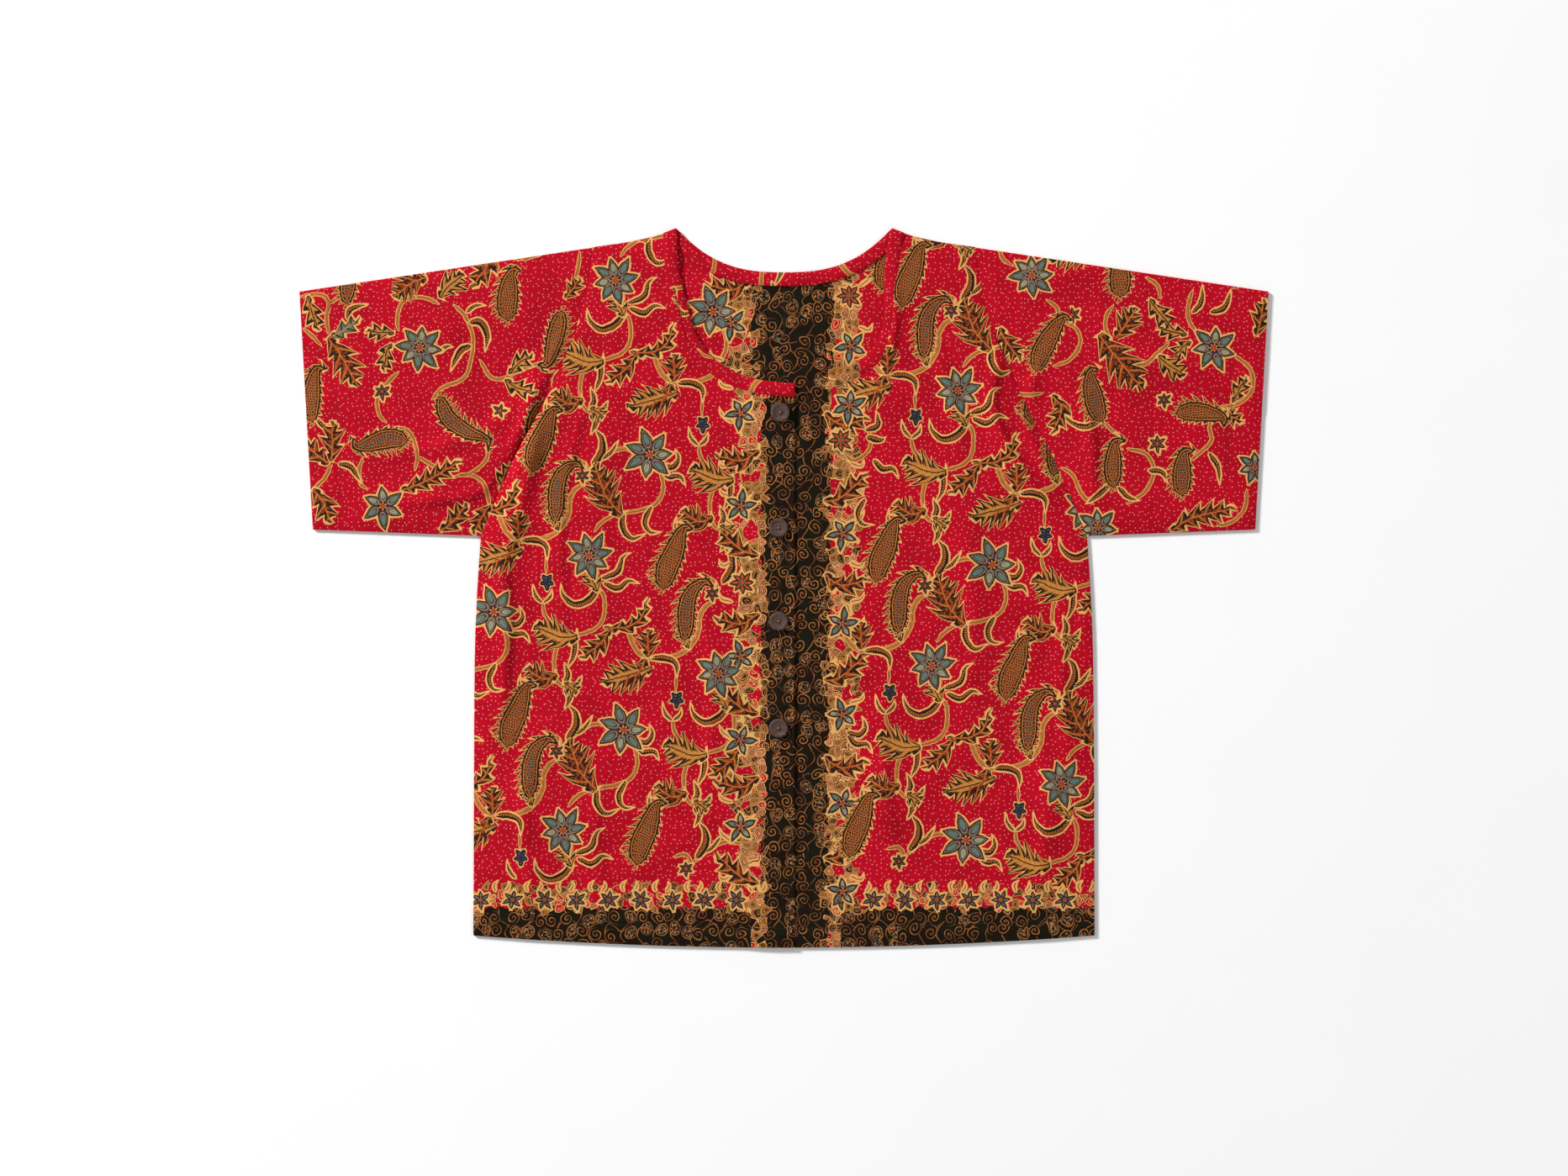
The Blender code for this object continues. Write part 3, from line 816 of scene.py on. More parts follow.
@dataclass
class SleevePiece(CutPiece):
    """A sleeve: one piece folded along the overarm, its two edges meeting in the underarm seam.

    Attributes:
        side: -1 for the wearer's right sleeve, 1 for the left one.
        layer_rise: From the lower layer's middle to the upper layer's, at the fold.
        fold_steps: How many strips go round the fold.
        tuck: How far its edge goes into the armhole seam.
        level: The least height in the solid at which its upper side is read.
        floor_gap: Between the floor and its underside.
    """

    side: int = -1
    layer_rise: float = 1.35 * MM
    fold_steps: int = 10
    tuck: float = 0.22 * MM
    level: float = 1.15 * MM
    floor_gap: float = 0.05 * MM

    def seam_line(self, form: Form) -> tuple[np.ndarray, np.ndarray, np.ndarray]:
        """The armhole edge from the underarm to the shoulder, then the hem's foot and its head."""
        loop = form.outline(self.level)
        out, up = abs(loop[:, 0]), loop[:, 1]
        corners = (-out - up, up - out, out - up, out + up)
        underarm, shoulder, foot, head = (int(reach.argmax()) for reach in corners)
        for step in (-self.side, self.side):
            count = (shoulder - underarm) * step % len(loop)
            seam = [(underarm + step * number) % len(loop) for number in range(count + 1)]
            if foot not in seam and head not in seam:
                break
        return loop[seam], loop[foot], loop[head]

    def stops(self, length: float) -> np.ndarray:
        """Shares from 0 to 1 along a length, close together at both ends."""
        rim = np.array(self.cloth.rim) / length
        middle = np.linspace(2 * rim[-1], 1 - 2 * rim[-1], round(length / self.spacing))
        return np.concatenate([[0], rim, middle, 1 - rim[::-1], [1]])

    def layers(self, form: Form, flat: np.ndarray, seam: np.ndarray,
               ends: list) -> tuple[np.ndarray, np.ndarray]:
        """The heights of both layers.

        Args:
            form: The node's shape.
            flat: The grid of its points, seen from above.
            seam: The armhole edge.
            ends: The hem's head and its foot.

        Returns:
            The heights of the upper and of the lower layer's middle.
        """
        places, half = flat.reshape(-1, 2), self.cloth.thickness / 2
        gap = edge_gap(places, np.vstack([seam, ends]))
        top = self.height(form, places)
        top = np.where(np.isnan(top), half + self.layer_rise, top)
        number = np.arange(len(places)).reshape(flat.shape[:2])
        edges = np.vstack([np.column_stack([number[:-1].ravel(), number[1:].ravel()]),
                           np.column_stack([number[:, :-1].ravel(), number[:, 1:].ravel()])])
        top = smoothed(top, edges, SMOOTH_ROUNDS)
        at_fold = half + self.floor_gap + self.layer_rise
        fade = np.clip(gap / (7 * MM), 0, 1)
        top = at_fold + (top - at_fold) * fade ** 0.7 + self.crumple(places, gap)
        top = top - sum(hem.groove(places, form.outline(self.level)) for hem in self.hems)
        under = half + self.floor_gap + 0.4 * np.maximum(0, top - at_fold)
        top = np.maximum(top, under + self.cloth.thickness + 0.12 * MM)
        seam_side = np.tile(np.arange(flat.shape[1]) < flat.shape[1] // 2, len(flat))
        top = top - self.cloth.roll * (1 - np.clip(gap / self.cloth.roll_width, 0, 1)) ** 2 * seam_side
        return top.reshape(flat.shape[:2]), under.reshape(flat.shape[:2])

    def build(self) -> bpy.types.Object:
        """Makes both layers and the fold as one grid, and gives it its thickness."""
        form = Form(self.node)
        seam, foot, head = self.seam_line(form)
        seam = evened(seam, 0.2 * MM)
        lengths = np.linspace(0, 1, len(seam))
        rows = self.stops(float(np.linalg.norm(np.diff(seam, axis=0), axis=1).sum()))[:-3]
        inner = np.column_stack([np.interp(rows, lengths, seam[:, axis]) for axis in range(2)])
        inner[:, 0] -= self.side * self.tuck
        outer = foot + rows[:, None] * (head - foot)
        across = self.stops(float(np.linalg.norm(outer.mean(0) - inner.mean(0))))
        flat = inner[None] + across[:, None, None] * (outer - inner)[None]
        along = (head - seam[-1]) / np.linalg.norm(head - seam[-1])
        out = np.array([-along[1], along[0]]) * self.side
        radius = self.layer_rise / 2
        fold_from = seam[-1] + across[:, None] * (head - seam[-1])
        fold_from = fold_from - out * (radius + self.cloth.thickness / 2)
        flat = np.concatenate([flat, fold_from[:, None]], axis=1)
        top, under = self.layers(form, flat, seam, [head, foot])
        turn, turn_plan = [], []
        middle, half = (top[:, -1] + under[:, -1]) / 2, (top[:, -1] - under[:, -1]) / 2
        for step in range(1, self.fold_steps):
            angle = math.pi * step / self.fold_steps
            turn.append(np.column_stack([flat[:, -1] + out * radius * math.sin(angle),
                                         middle + half * math.cos(angle)]))
            turn_plan.append(flat[:, -1] + out * radius * angle)
        edge = flat[:, -1:] + out * radius * math.pi / 2
        mirrored = flat + 2 * ((edge - flat) @ out)[..., None] * out
        grid = np.concatenate([np.dstack([flat, top]), np.stack(turn, axis=1),
                               np.dstack([flat, under])[:, ::-1]], axis=1)
        plan = np.concatenate([flat, np.stack(turn_plan, axis=1), mirrored[:, ::-1]], axis=1).reshape(-1, 2)
        number = np.arange(grid.shape[0] * grid.shape[1]).reshape(grid.shape[:2])
        quads = np.stack([number[:-1, :-1], number[1:, :-1], number[1:, 1:], number[:-1, 1:]], axis=-1)
        made = new_mesh(self.name, grid.reshape(-1, 3), quads.reshape(-1, 4)[:, ::self.side])
        kept = made.data.attributes.new("plan", "FLOAT_VECTOR", "POINT")
        kept.data.foreach_set("vector", np.column_stack([plan, np.zeros(len(plan))]).ravel())
        return thickened(made, self.cloth.thickness, plan)


@dataclass
class NeckBinding(CutPiece):
    """A folded strip of the cloth, sewn flat over a neck edge.

    Attributes:
        crown: How far its middle stands above its edges.
        pucker: How deep the stitching draws it in.
    """

    slot: str = "binding_cloth"
    crown: float = 0.35 * MM
    pucker: float = 0.12 * MM

    def crumple(self, places: np.ndarray, gap: np.ndarray) -> np.ndarray:
        """A low crown between its edges, and small puckers."""
        share = np.clip(gap / (3.2 * MM), 0, 1)
        puckers = self.pucker * waviness(places, 5 * MM, 5.5) * share
        return self.crown * np.sin(share * math.pi / 2) + puckers


@dataclass
class BackPiece(CutPiece):
    """A back half: it lies on the floor, and rises a little where the front over it does.

    Attributes:
        over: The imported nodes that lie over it.
        follow: The share of their rise that it takes up.
        front_level: The upper side of a flat front, in metres.
        low_side: The height of its underside.
        lap_rise: How much higher the fronts lie where they lap.
        lap_reach: How far to each side of the middle they do.
        most_lift: The most that it rises.
    """

    over: tuple[str, ...] = ("right_front", "left_front")
    follow: float = 0.42
    front_level: float = 2.3 * MM
    low_side: float = 0.05 * MM
    lap_rise: float = 1.3 * MM
    lap_reach: float = 20 * MM
    most_lift: float = 3.6 * MM
    cloth: Cloth = Cloth(roll=0.0)

    def height(self, form: Form, places: np.ndarray) -> np.ndarray:
        """Flat on the floor, and drawn up into the folds over it."""
        above = Form(*self.over).heights(places, self.front_level)
        lapped = self.lap_rise * (abs(places[:, 0]) < self.lap_reach)
        lift = np.clip(above - self.front_level - lapped, 0, self.most_lift)
        return self.low_side + self.cloth.thickness / 2 + self.follow * lift

    def crumple(self, places: np.ndarray, gap: np.ndarray) -> np.ndarray:
        """Soft waves that stay under the front."""
        return 0.22 * soft_waves(places) * np.clip(gap / EDGE_CALM, 0, 1)


FOOT_HEM = Hem((0, -1), 15 * MM, 200 * MM)
FRONT_EDGE = (Hem((1, 0), 4.5 * MM, 7 * MM), Hem((1, 0), 0.4 * MM, 7 * MM, -1.7 * MM, 3.4 * MM, sewn=False))
SLEEVE_HEMS = {side: (Hem((side, 0), 24 * MM, 300 * MM),) for side in (-1, 1)}


def cut_pieces() -> list[CutPiece]:
    """All pieces of cloth, from the lowest to the uppermost, with the cut of what shows of each."""
    backs = ("back_right_cloth", "back_left_cloth")
    fronts = ("right_front_cloth", "left_front_cloth")
    return [
        BackPiece(backs[0], "back_right", 2.7 * MM, (0.2434, 0.564), 0.1202, ("floor",), hems=(FOOT_HEM,)),
        BackPiece(backs[1], "back_left", 2.7 * MM, (0.2434, 0.564), 0.1202, ("floor",), hems=(FOOT_HEM,)),
        NeckBinding("back_binding_cloth", "neck_binding_back", 1.7 * MM, (0.0105, 0.222), 0.0023, backs),
        CutPiece(fronts[1], "left_front", 2.2 * MM, (0.2585, 0.564), 0.1204, backs[1:], hems=(FOOT_HEM,)),
        NeckBinding("left_binding_cloth", "neck_binding_left", 1.7 * MM, (0.0105, 0.219), 0.0023,
                    fronts[1:]),
        CutPiece(fronts[0], "right_front", 2.2 * MM, (0.2518, 0.564), 0.1177, (backs[0], fronts[1]),
                 hems=(FOOT_HEM, *FRONT_EDGE)),
        NeckBinding("right_binding_cloth", "neck_binding_right", 1.7 * MM, (0.0105, 0.205), 0.0021,
                    fronts[:1]),
        SleevePiece("right_sleeve_cloth", "right_sleeve", 2.1 * MM, (0.236, 0.432), 0.0767, ("floor",),
                    hems=SLEEVE_HEMS[-1], side=-1),
        SleevePiece("left_sleeve_cloth", "left_sleeve", 2.1 * MM, (0.236, 0.432), 0.0767, ("floor",),
                    hems=SLEEVE_HEMS[1], side=1),
    ]


# The print, motif by motif, as node groups

class Group:
    """A shader node group under construction, with named inputs and outputs."""

    def __init__(self, name: str, inputs: dict[str, str], outputs: dict[str, str]) -> None:
        """Makes the group's tree and its sockets.

        Args:
            name: The group's name.
            inputs: Each input's name and kind, such as Vector or Float.
            outputs: Each output's name and kind.
        """
        self.tree = bpy.data.node_groups.new(name, "ShaderNodeTree")
        for in_out, sockets in (("INPUT", inputs), ("OUTPUT", outputs)):
            for socket, kind in sockets.items():
                self.tree.interface.new_socket(name=socket, in_out=in_out, socket_type="NodeSocket" + kind)
        self.source = self.tree.nodes.new("NodeGroupInput")
        self.result = self.tree.nodes.new("NodeGroupOutput")

    def input(self, name: str) -> Signal:
        """One of the group's inputs."""
        return Signal(self.tree, self.source.outputs[name])

    def give(self, **results: "Signal | Dye") -> bpy.types.NodeTree:
        """Sets the group's outputs and returns its tree."""
        for name, value in results.items():
            feed(self.tree, self.result.inputs[name], value)
        return self.tree


def placed_group(tree: bpy.types.NodeTree, group: bpy.types.NodeTree,
                 **inputs: object) -> dict[str, Signal]:
    """Adds a group to a material or another group.

    Args:
        tree: Where it goes.
        group: The group.
        inputs: What goes into its inputs, by name.

    Returns:
        Its outputs by name.
    """
    node = tree.nodes.new("ShaderNodeGroup")
    node.node_tree = group
    for name, value in inputs.items():
        feed(tree, node.inputs[name], value)
    return {socket.name: Signal(tree, socket) for socket in node.outputs}


def wedge(phase: Signal) -> Signal:
    """A row of points: 1 where the phase is a whole number, falling evenly to 0 half way between."""
    return abs((phase.fraction() - 0.5) * 2.0)


def is_tint(tint: Signal, wanted: Tint) -> Signal:
    """1 where a motif has this set of dyes."""
    return abs(tint - wanted.value).inside(0.5, 0.05)


def share_along(along: Signal, length: Signal) -> Signal:
    """How far along a motif a place is, from 0 to 1."""
    return (along / length).at_least(0.0).at_most(1.0)


def past_ends(along: Signal, length: Signal) -> Signal:
    """How far a place is past either end of a motif."""
    return (along - length).at_least(-along).at_least(0.0)


def paint_vine(place: Signal, _style: Signal) -> dict[str, object]:
    """A stem: pale edges, brown sides, a golden core. Its place's third number is its half width."""
    along, beside, half = parts_of(place)
    edge = abs(beside) - half + (along * 1.1).sine() * 0.05
    core = layered(Dye.GOLD, (Dye.OCHRE, (along * 0.9).sine().rise(-0.2, 0.5) * 0.7),
                   (Dye.RUST, (beside - 0.2).line(0.3)))
    colour = layered(Dye.TAN, (Dye.DARK_BROWN, (edge + 0.62).inside()), (core, (edge + 0.95).inside()))
    return {"Colour": colour, "Body": edge.inside()}


def paint_horn(place: Signal, style: Signal) -> dict[str, object]:
    """A curved, tapering leaf with a dotted rib and one lit side."""
    along, beside, length = parts_of(place)
    width, _, tint = parts_of(style)
    share = share_along(along, length)
    belly = (share + 0.03).power(0.32) * (1.0 - share).power(0.7) * 0.72
    edge = (abs(beside) - belly * width) * 0.92 + past_ends(along, length)
    inner = (edge + 1.2).inside()
    deep = (edge + 1.7).inside()
    dots = (1.0 - wedge(along / 1.9)).inside(0.5, 0.15) * abs(beside - 0.1).inside(0.5)
    lit = (beside - 0.5).rise(-0.3, 0.3) * deep
    dark_horn = layered(Dye.DARK, (Dye.RUST, lit), (Dye.OCHRE, dots * deep))
    warm_horn = layered(Dye.DARK, (Dye.OCHRE, deep), (Dye.ORANGE, lit), (Dye.DARK, dots * deep))
    lace_horn = layered(Dye.TAN_LIGHT, (Dye.BROWN, abs(beside).inside(0.35) * inner))
    fill = layered(dark_horn, (warm_horn, is_tint(tint, Tint.WARM)), (lace_horn, is_tint(tint, Tint.LACE)))
    return {"Colour": layered(Dye.TAN, (fill, inner)), "Body": edge.inside()}


def paint_leaf(place: Signal, style: Signal) -> dict[str, object]:
    """A leaf cut into pointed lobes that curve towards its tip, with a vein in each."""
    along, beside, length = parts_of(place)
    width, lobes, tint = parts_of(style)
    out = abs(beside)
    leaning = along - out * 0.66 - out * out * 0.02
    share = share_along(leaning, length)
    envelope = (share + 0.04).power(0.55) * (1.04 - share).power(0.55) * width * 1.32
    away = wedge(leaning * lobes / length + 0.5 * beside.rise(-0.1, 0.1))
    over = (along - length * 1.2).at_least(-along - 0.6)
    edge = ((out - envelope * (1.04 - away * 0.62)) * 0.62).at_least(over)
    inner = (edge + 1.05).inside()
    deep = (edge + 1.6).inside()
    vein = away.inside(0.15, 0.08) * deep
    rib = out.inside(0.5) * deep
    grain = Speckle(0.45, 1.0).noise(place).rise(0.42, 0.6)
    heart = (out - envelope * 0.2).inside(0.0, 0.5) * (edge + 1.9).inside()
    dark_leaf = layered(Dye.DARK, (Dye.RUST, (edge + 2.6).inside() * grain),
                        (layered(Dye.OCHRE, (Dye.ORANGE, grain)), (vein + rib).at_most(1.0)))
    barbs = wedge(leaning * lobes * 2.0 / length).inside(0.36, 0.12) * (edge + 1.6).inside()
    warm_leaf = layered(Dye.DARK, (Dye.OCHRE, (edge + 2.9).inside()), (Dye.DARK, barbs),
                        (Dye.GOLD, heart * 0.8), (Dye.DARK_BROWN, rib))
    lace_leaf = layered(Dye.TAN_LIGHT, (Dye.BROWN, (edge + 1.1).line(0.3)), (Dye.OCHRE, vein),
                        (Dye.BROWN, rib))
    teal_leaf = layered(Dye.DARK, (Dye.PETAL, (edge + 1.7).inside()), (Dye.DARK, vein), (Dye.OCHRE, rib))
    fill = layered(dark_leaf, (warm_leaf, is_tint(tint, Tint.WARM)), (lace_leaf, is_tint(tint, Tint.LACE)),
                   (teal_leaf, is_tint(tint, Tint.TEAL)))
    return {"Colour": layered(Dye.TAN, (fill, inner)), "Body": edge.inside()}


def paint_flower(place: Signal, style: Signal) -> dict[str, object]:
    """A flower of pointed petals of uneven length, each with a lighter blade and a small core."""
    right, up, radius = parts_of(place)
    petals, tint, seed = parts_of(style)
    petals = (petals + 0.5).floor()
    reach = (right * right + up * up).root()
    bend = (reach / radius - 0.4) * 0.16
    angle = right.bearing(up) + bend
    turn = angle * petals / math.tau
    number = (turn + 0.5 + petals).floor().math("MODULO", petals)
    chance = (number * 0.618 + seed * 0.37).fraction()
    folded = ((turn + 0.5 + petals).fraction() - 0.5) * math.tau / petals
    along, across = reach * folded.cosine(), abs(reach * folded.sine())
    length = radius * (0.80 + chance * 0.24)
    share = share_along(along, length)
    blade = (share.power(0.9) * math.pi).sine().at_least(0.0).power(0.95) * radius * 0.208
    side = (across - blade) * 0.85
    edge = side.at_least(along - length).at_most(reach - radius * 0.30)
    fill = (side + 1.15).inside() * (share - 0.20).rise(0.0, 0.06) * (share - 0.88).inside(0.0, 0.04)
    oval = (share - 0.56) * 4.0
    core = (across / (blade * 0.52 + 0.05)).power(2.0) + oval * oval
    grain = Speckle(0.30, 2.0).noise(place)
    warm = is_tint(tint, Tint.WARM)
    petal = layered(Dye.PETAL, (Dye.PETAL_BLUE, (grain + chance * 0.3 - 0.15).rise(0.50, 0.60)),
                    (Dye.OCHRE, warm))
    stripe = (across - 0.05).inside(0.16, 0.1) * (share - 0.62).inside(0.0, 0.03)
    heart = layered(Dye.PETAL_LIGHT, (Dye.TEAL, (chance - 0.35).rise(0.0, 0.08)), (Dye.RUST, stripe),
                    (Dye.ORANGE, warm))
    star = reach - radius * (0.13 + 0.07 * (angle * petals).cosine())
    spots = wedge(angle * petals * 2.0 / math.tau).inside(0.4, 0.15)
    centre = layered(Dye.DARK, (Dye.TAN_ROSE, star.inside(0.0, 0.4)),
                     (Dye.RUST, spots * (reach - radius * 0.13).line(0.5, 0.2)),
                     (Dye.DARK_BROWN, (reach - radius * 0.08).inside(0.0, 0.3)),
                     (Dye.ORANGE, (reach - radius * 0.05).inside(0.0, 0.3)))
    colour = layered(Dye.PETAL_EDGE, (petal, fill),
                     (Dye.TAN_ROSE, fill * (core - 1.5).line(0.2, 0.2) * 0.7),
                     (Dye.PETAL_EDGE, fill * (core - 1.2).inside(0.0, 0.3)),
                     (heart, fill * (core - 0.7).inside(0.0, 0.25)),
                     (centre, (reach - radius * 0.18).inside(0.0, 0.4)))
    return {"Colour": layered(Dye.TAN, (colour, edge.inside())), "Body": edge.inside(1.25)}


def paint_paisley(place: Signal, style: Signal) -> dict[str, object]:
    """A teardrop with a row of flames round it, striped bands and a stippled heart."""
    along, beside, length = parts_of(place)
    width, _, tint = parts_of(style)
    share = share_along(along, length)
    belly = (share + 0.004).power(0.45) * (1.0 - share).power(0.9) * 2.02
    edge = (abs(beside) - belly * width * 0.5) * 0.95 + past_ends(along, length)
    flame = 1.0 - wedge((along + abs(beside) * 0.9) / 6.6)
    side = (beside.rise(-1.0, 1.0) * 0.5 + 0.6) * (1.15 - share * 0.45)
    frill = (edge - (0.3 + flame * 6.2 * side)) * 0.62
    grain = Speckle(0.55, 1.0).noise(place)
    sway = beside + (along * 0.55).sine() * 0.9
    streak = wedge(sway / 1.9).inside(0.22, 0.16)
    seeds = wedge(along / 2.1).inside(0.5, 0.16) * wedge(sway / 1.9).above(0.5)
    cold = layered(Dye.DARK, (Dye.TEAL, streak), (Dye.OCHRE, streak * grain.rise(0.54, 0.58)))
    hot = layered(Dye.DARK, (Dye.GOLD, streak), (Dye.TEAL, streak * grain.rise(0.56, 0.6)))
    heart = layered(cold, (hot, is_tint(tint, Tint.WARM)), (Dye.ORANGE, seeds))
    leaning = along - abs(beside) * 0.8
    ticks = wedge(leaning / 2.6 + grain * 0.5).inside(0.42, 0.16)
    inside = layered(Dye.DARK, (Dye.GOLD, (edge + 0.95).line(0.26)),
                     (Dye.ORANGE, (edge + 2.0).line(0.4) * ticks),
                     (Dye.OCHRE, (edge + 3.0).line(0.2)), (heart, (edge + 3.5).inside()))
    ring = layered(Dye.TAN, (Dye.DARK, (frill + 0.85).inside()),
                   (Dye.OCHRE, (frill + 1.6).inside() * wedge(leaning / 3.3).rise(0.25, 0.35)),
                   (Dye.DARK, (edge - 0.2).line(0.5)), (inside, edge.inside()))
    return {"Colour": ring, "Body": frill.inside()}


def paint_berry(place: Signal, _style: Signal) -> dict[str, object]:
    """A dark bud of five blunt lobes with faint specks."""
    right, up, radius = parts_of(place)
    edge = (right * right + up * up * 0.6).root() - radius * 0.86
    edge = edge + (right.bearing(up) * 5.0).cosine() * 1.1
    specks = Speckle(1.3, 1.0).noise(place).rise(0.55, 0.62)
    colour = layered(Dye.TAN, (Dye.NAVY, edge.inside(-0.8)),
                     (Dye.BLUE_GREY, specks * edge.inside(-1.6) * 0.8))
    return {"Colour": colour, "Body": edge.inside()}


PAINTERS: dict[Motif, Callable[[Signal, Signal], dict[str, object]]] = {
    Motif.VINE: paint_vine,
    Motif.HORN: paint_horn,
    Motif.LEAF: paint_leaf,
    Motif.FLOWER: paint_flower,
    Motif.PAISLEY: paint_paisley,
    Motif.BERRY: paint_berry,
}


@cache
def motif_group(motif: Motif) -> bpy.types.NodeTree:
    """The node group that paints one kind of motif."""
    group = Group("print_" + motif.value, {"Place": "Vector", "Style": "Vector"},
                  {"Colour": "Color", "Body": "Float"})
    return group.give(**PAINTERS[motif](group.input("Place"), group.input("Style")))


@dataclass(frozen=True)
class RedGround:
    """The crimson ground with its rows of small pale dots, and soft darker patches of painted shade.

    Attributes:
        spacing: Between the dots, in metres.
        radius: A dot's radius, in metres.
    """

    spacing: float = 3.9 * MM
    radius: float = 0.44 * MM

    @cache
    def group(self) -> bpy.types.NodeTree:
        """The node group."""
        group = Group("ground_red", {"Place": "Vector"}, {"Colour": "Color"})
        place = group.input("Place")
        away = Speckle(1 / self.spacing, 0, 0.8).cells(place)[0]
        dot = away.inside(self.radius / self.spacing, 0.035)
        # Painted shade: soft noise patches darken the crimson towards its shaded tone, standing in for the
        # shade of folds.
        uneven = Speckle(34.0, 3.0).noise(place).rise(0.35, 0.7)
        plain = mixed(Dye.CRIMSON, Dye.CRIMSON_DEEP, uneven * 0.55)
        return group.give(Colour=mixed(plain, Dye.DOT, dot * 0.75))


@dataclass(frozen=True)
class DarkGround:
    """The near-black border with its scrolls and small medallions.

    Attributes:
        spacing: Between the scrolls, in metres.
        reach: A scroll's radius, in metres.
        drift: How far the hand that drew them strays, in metres.
        strand_step: Between the strands that join them, in millimetres.
        branch_step: Between the branches that cross the strands, in millimetres.
    """

    spacing: float = 11.4 * MM
    reach: float = 5.3 * MM
    drift: float = 5.0 * MM
    strand_step: float = 13.0
    branch_step: float = 23.0

    @cache
    def group(self) -> bpy.types.NodeTree:
        """The node group."""
        group = Group("ground_dark", {"Place": "Vector"}, {"Colour": "Color"})
        place = group.input("Place")
        place = strayed(place, Speckle(85.0, 1.0).noise_vector(place), self.drift)
        _, cell, point = Speckle(1 / self.spacing, 0, 0.62).cells(place)
        chance, other, _ = parts_of(cell)
        x, y, _ = parts_of(place)
        px, py, _ = parts_of(point)
        right, up = (x - px) * 1000.0, (y - py) * 1000.0
        reach = (right * right * (1.0 + chance * 0.3) + up * up).root()
        limit = self.reach / MM
        inside = (reach - limit).inside(0.0, 0.2)
        coil = right.bearing(up) * (other - 0.5).sign() / math.tau
        spiral = (1.0 - wedge(reach / 2.9 + coil + chance)).inside(0.24, 0.12) * inside
        ring = (reach - limit * 0.92).line(0.36).at_least((reach - limit * 0.5).line(0.22) * other)
        spots = Speckle(640.0, 1.0).noise(place)
        mottle = spots.rise(0.5, 0.56) * (reach - limit * 0.74).inside(0.0, 0.3)
        is_medal = chance.rise(0.62, 0.64)
        sway = x * 1000.0 + (y * (math.tau / 0.031)).sine() * 4.4
        strand = abs((sway / self.strand_step).fraction() - 0.5) * self.strand_step
        rise = y * 1000.0 + (x * (math.tau / 0.027)).sine() * 4.0
        branch = abs((rise / self.branch_step).fraction() - 0.5) * self.branch_step
        strands = strand.at_most(branch + 0.1).inside(0.33) * (1.0 - inside)
        drawn_line = spiral * (1.0 - is_medal) + ring * is_medal
        bits = layered(Dye.TEAL, (Dye.OCHRE, spots.rise(0.56, 0.6)),
                       (Dye.ORANGE, (reach - 1.5).inside(0.0, 0.4)))
        plain = mixed(Dye.BLACK, Dye.BLACK_GREEN, Speckle(60.0, 2.0).noise(place).rise(0.4, 0.6))
        thread = mixed(Dye.SCROLL_DARK, Dye.SCROLL, Speckle(120.0, 1.0).noise(place).rise(0.35, 0.65))
        return group.give(Colour=layered(plain, (thread, drawn_line.at_least(strands)),
                                         (bits, mottle * is_medal * 0.9)))


@dataclass(frozen=True)
class Lace:
    """The pale lace between the red and the dark ground: crowded lobes with brown lines in them.

    Attributes:
        spacing: Between the lobes, in metres.
        lobe: The most that a lobe reaches from its middle, in metres.
        reach: Half the lace's width, in millimetres.
        ragged: How far single lobes stand out of it or back, in millimetres.
        hem_less: How much narrower it is along the hem, in millimetres.
    """

    spacing: float = 6.6 * MM
    lobe: float = 4.1 * MM
    reach: float = 12.0
    ragged: float = 8.0
    hem_less: float = 3.0

    @cache
    def group(self) -> bpy.types.NodeTree:
        """The node group. Band gives the place across the lace and whether it runs along the hem."""
        group = Group("print_lace", {"Place": "Vector", "Band": "Vector"},
                      {"Colour": "Color", "Body": "Float"})
        place = group.input("Place")
        _, across, hem = parts_of(group.input("Band"))
        place = strayed(place, Speckle(110.0, 1.0).noise_vector(place), 8.0 * MM)
        lobes = Speckle(1 / self.spacing, 0, 0.9)
        away, cell, point = lobes.cells(place)
        rim = lobes.cells(place, "DISTANCE_TO_EDGE")[0] * (self.spacing / MM)
        away = away * (self.spacing / MM)
        chance, other, third = parts_of(cell)
        x, y, _ = parts_of(place)
        px, py, _ = parts_of(point)
        beyond = across + ((px - x) * (1.0 - hem) + (py - y) * hem) * 1000.0
        reach = self.reach + (chance - 0.5) * self.ragged - hem * self.hem_less
        body = (abs(beyond) - reach).inside(0.0, 0.05) * other.above(0.17)
        coil = (x - px).bearing(y - py) * (other - 0.5).sign() / math.tau
        spiral = (1.0 - wedge(away / 1.9 + coil + third)).inside(0.25, 0.14)
        rim = rim.at_most(self.lobe / MM - away)
        nested = (rim - 1.15).line(0.3, 0.12).at_least((rim - 2.2).line(0.26, 0.12))
        lines = mixed_number(nested, spiral * (rim - 0.7).rise(-0.1, 0.1), third.above(0.42))
        red_lobe = (third + hem * 0.35).above(0.62) * (rim - 0.85).rise(-0.1, 0.1)
        pale = layered(Dye.TAN_LIGHT, (Dye.TAN_ROSE, (rim - 1.0).rise(-0.2, 0.4)), (Dye.DARK_BROWN, lines),
                       (Dye.CRIMSON, red_lobe), (Dye.TAN_LIGHT, red_lobe * lines))
        deep = layered(Dye.TAN_LIGHT, (Dye.DARK, (rim - 0.62).rise(-0.1, 0.1)),
                       (Dye.OCHRE, lines * rim.above(0.9)))
        torn = abs(across) + (Speckle(95.0, 2.0).noise(place) - 0.5) * 9.0
        filler = (torn - (self.reach - 2.6 - hem * self.hem_less)).inside(0.0, 0.2)
        filler = filler * (1.0 - hem) * other.above(0.2)
        body = (body * rim.rise(-0.25, -0.05)).at_least(filler)
        colour = layered(pale, (deep, chance.above(0.54)), (Dye.DARK_BROWN, (rim + 0.05).line(0.3, 0.12)),
                         (Dye.TAN, (rim + 0.3).inside(0.0, 0.1)))
        return group.give(Colour=colour, Body=body)


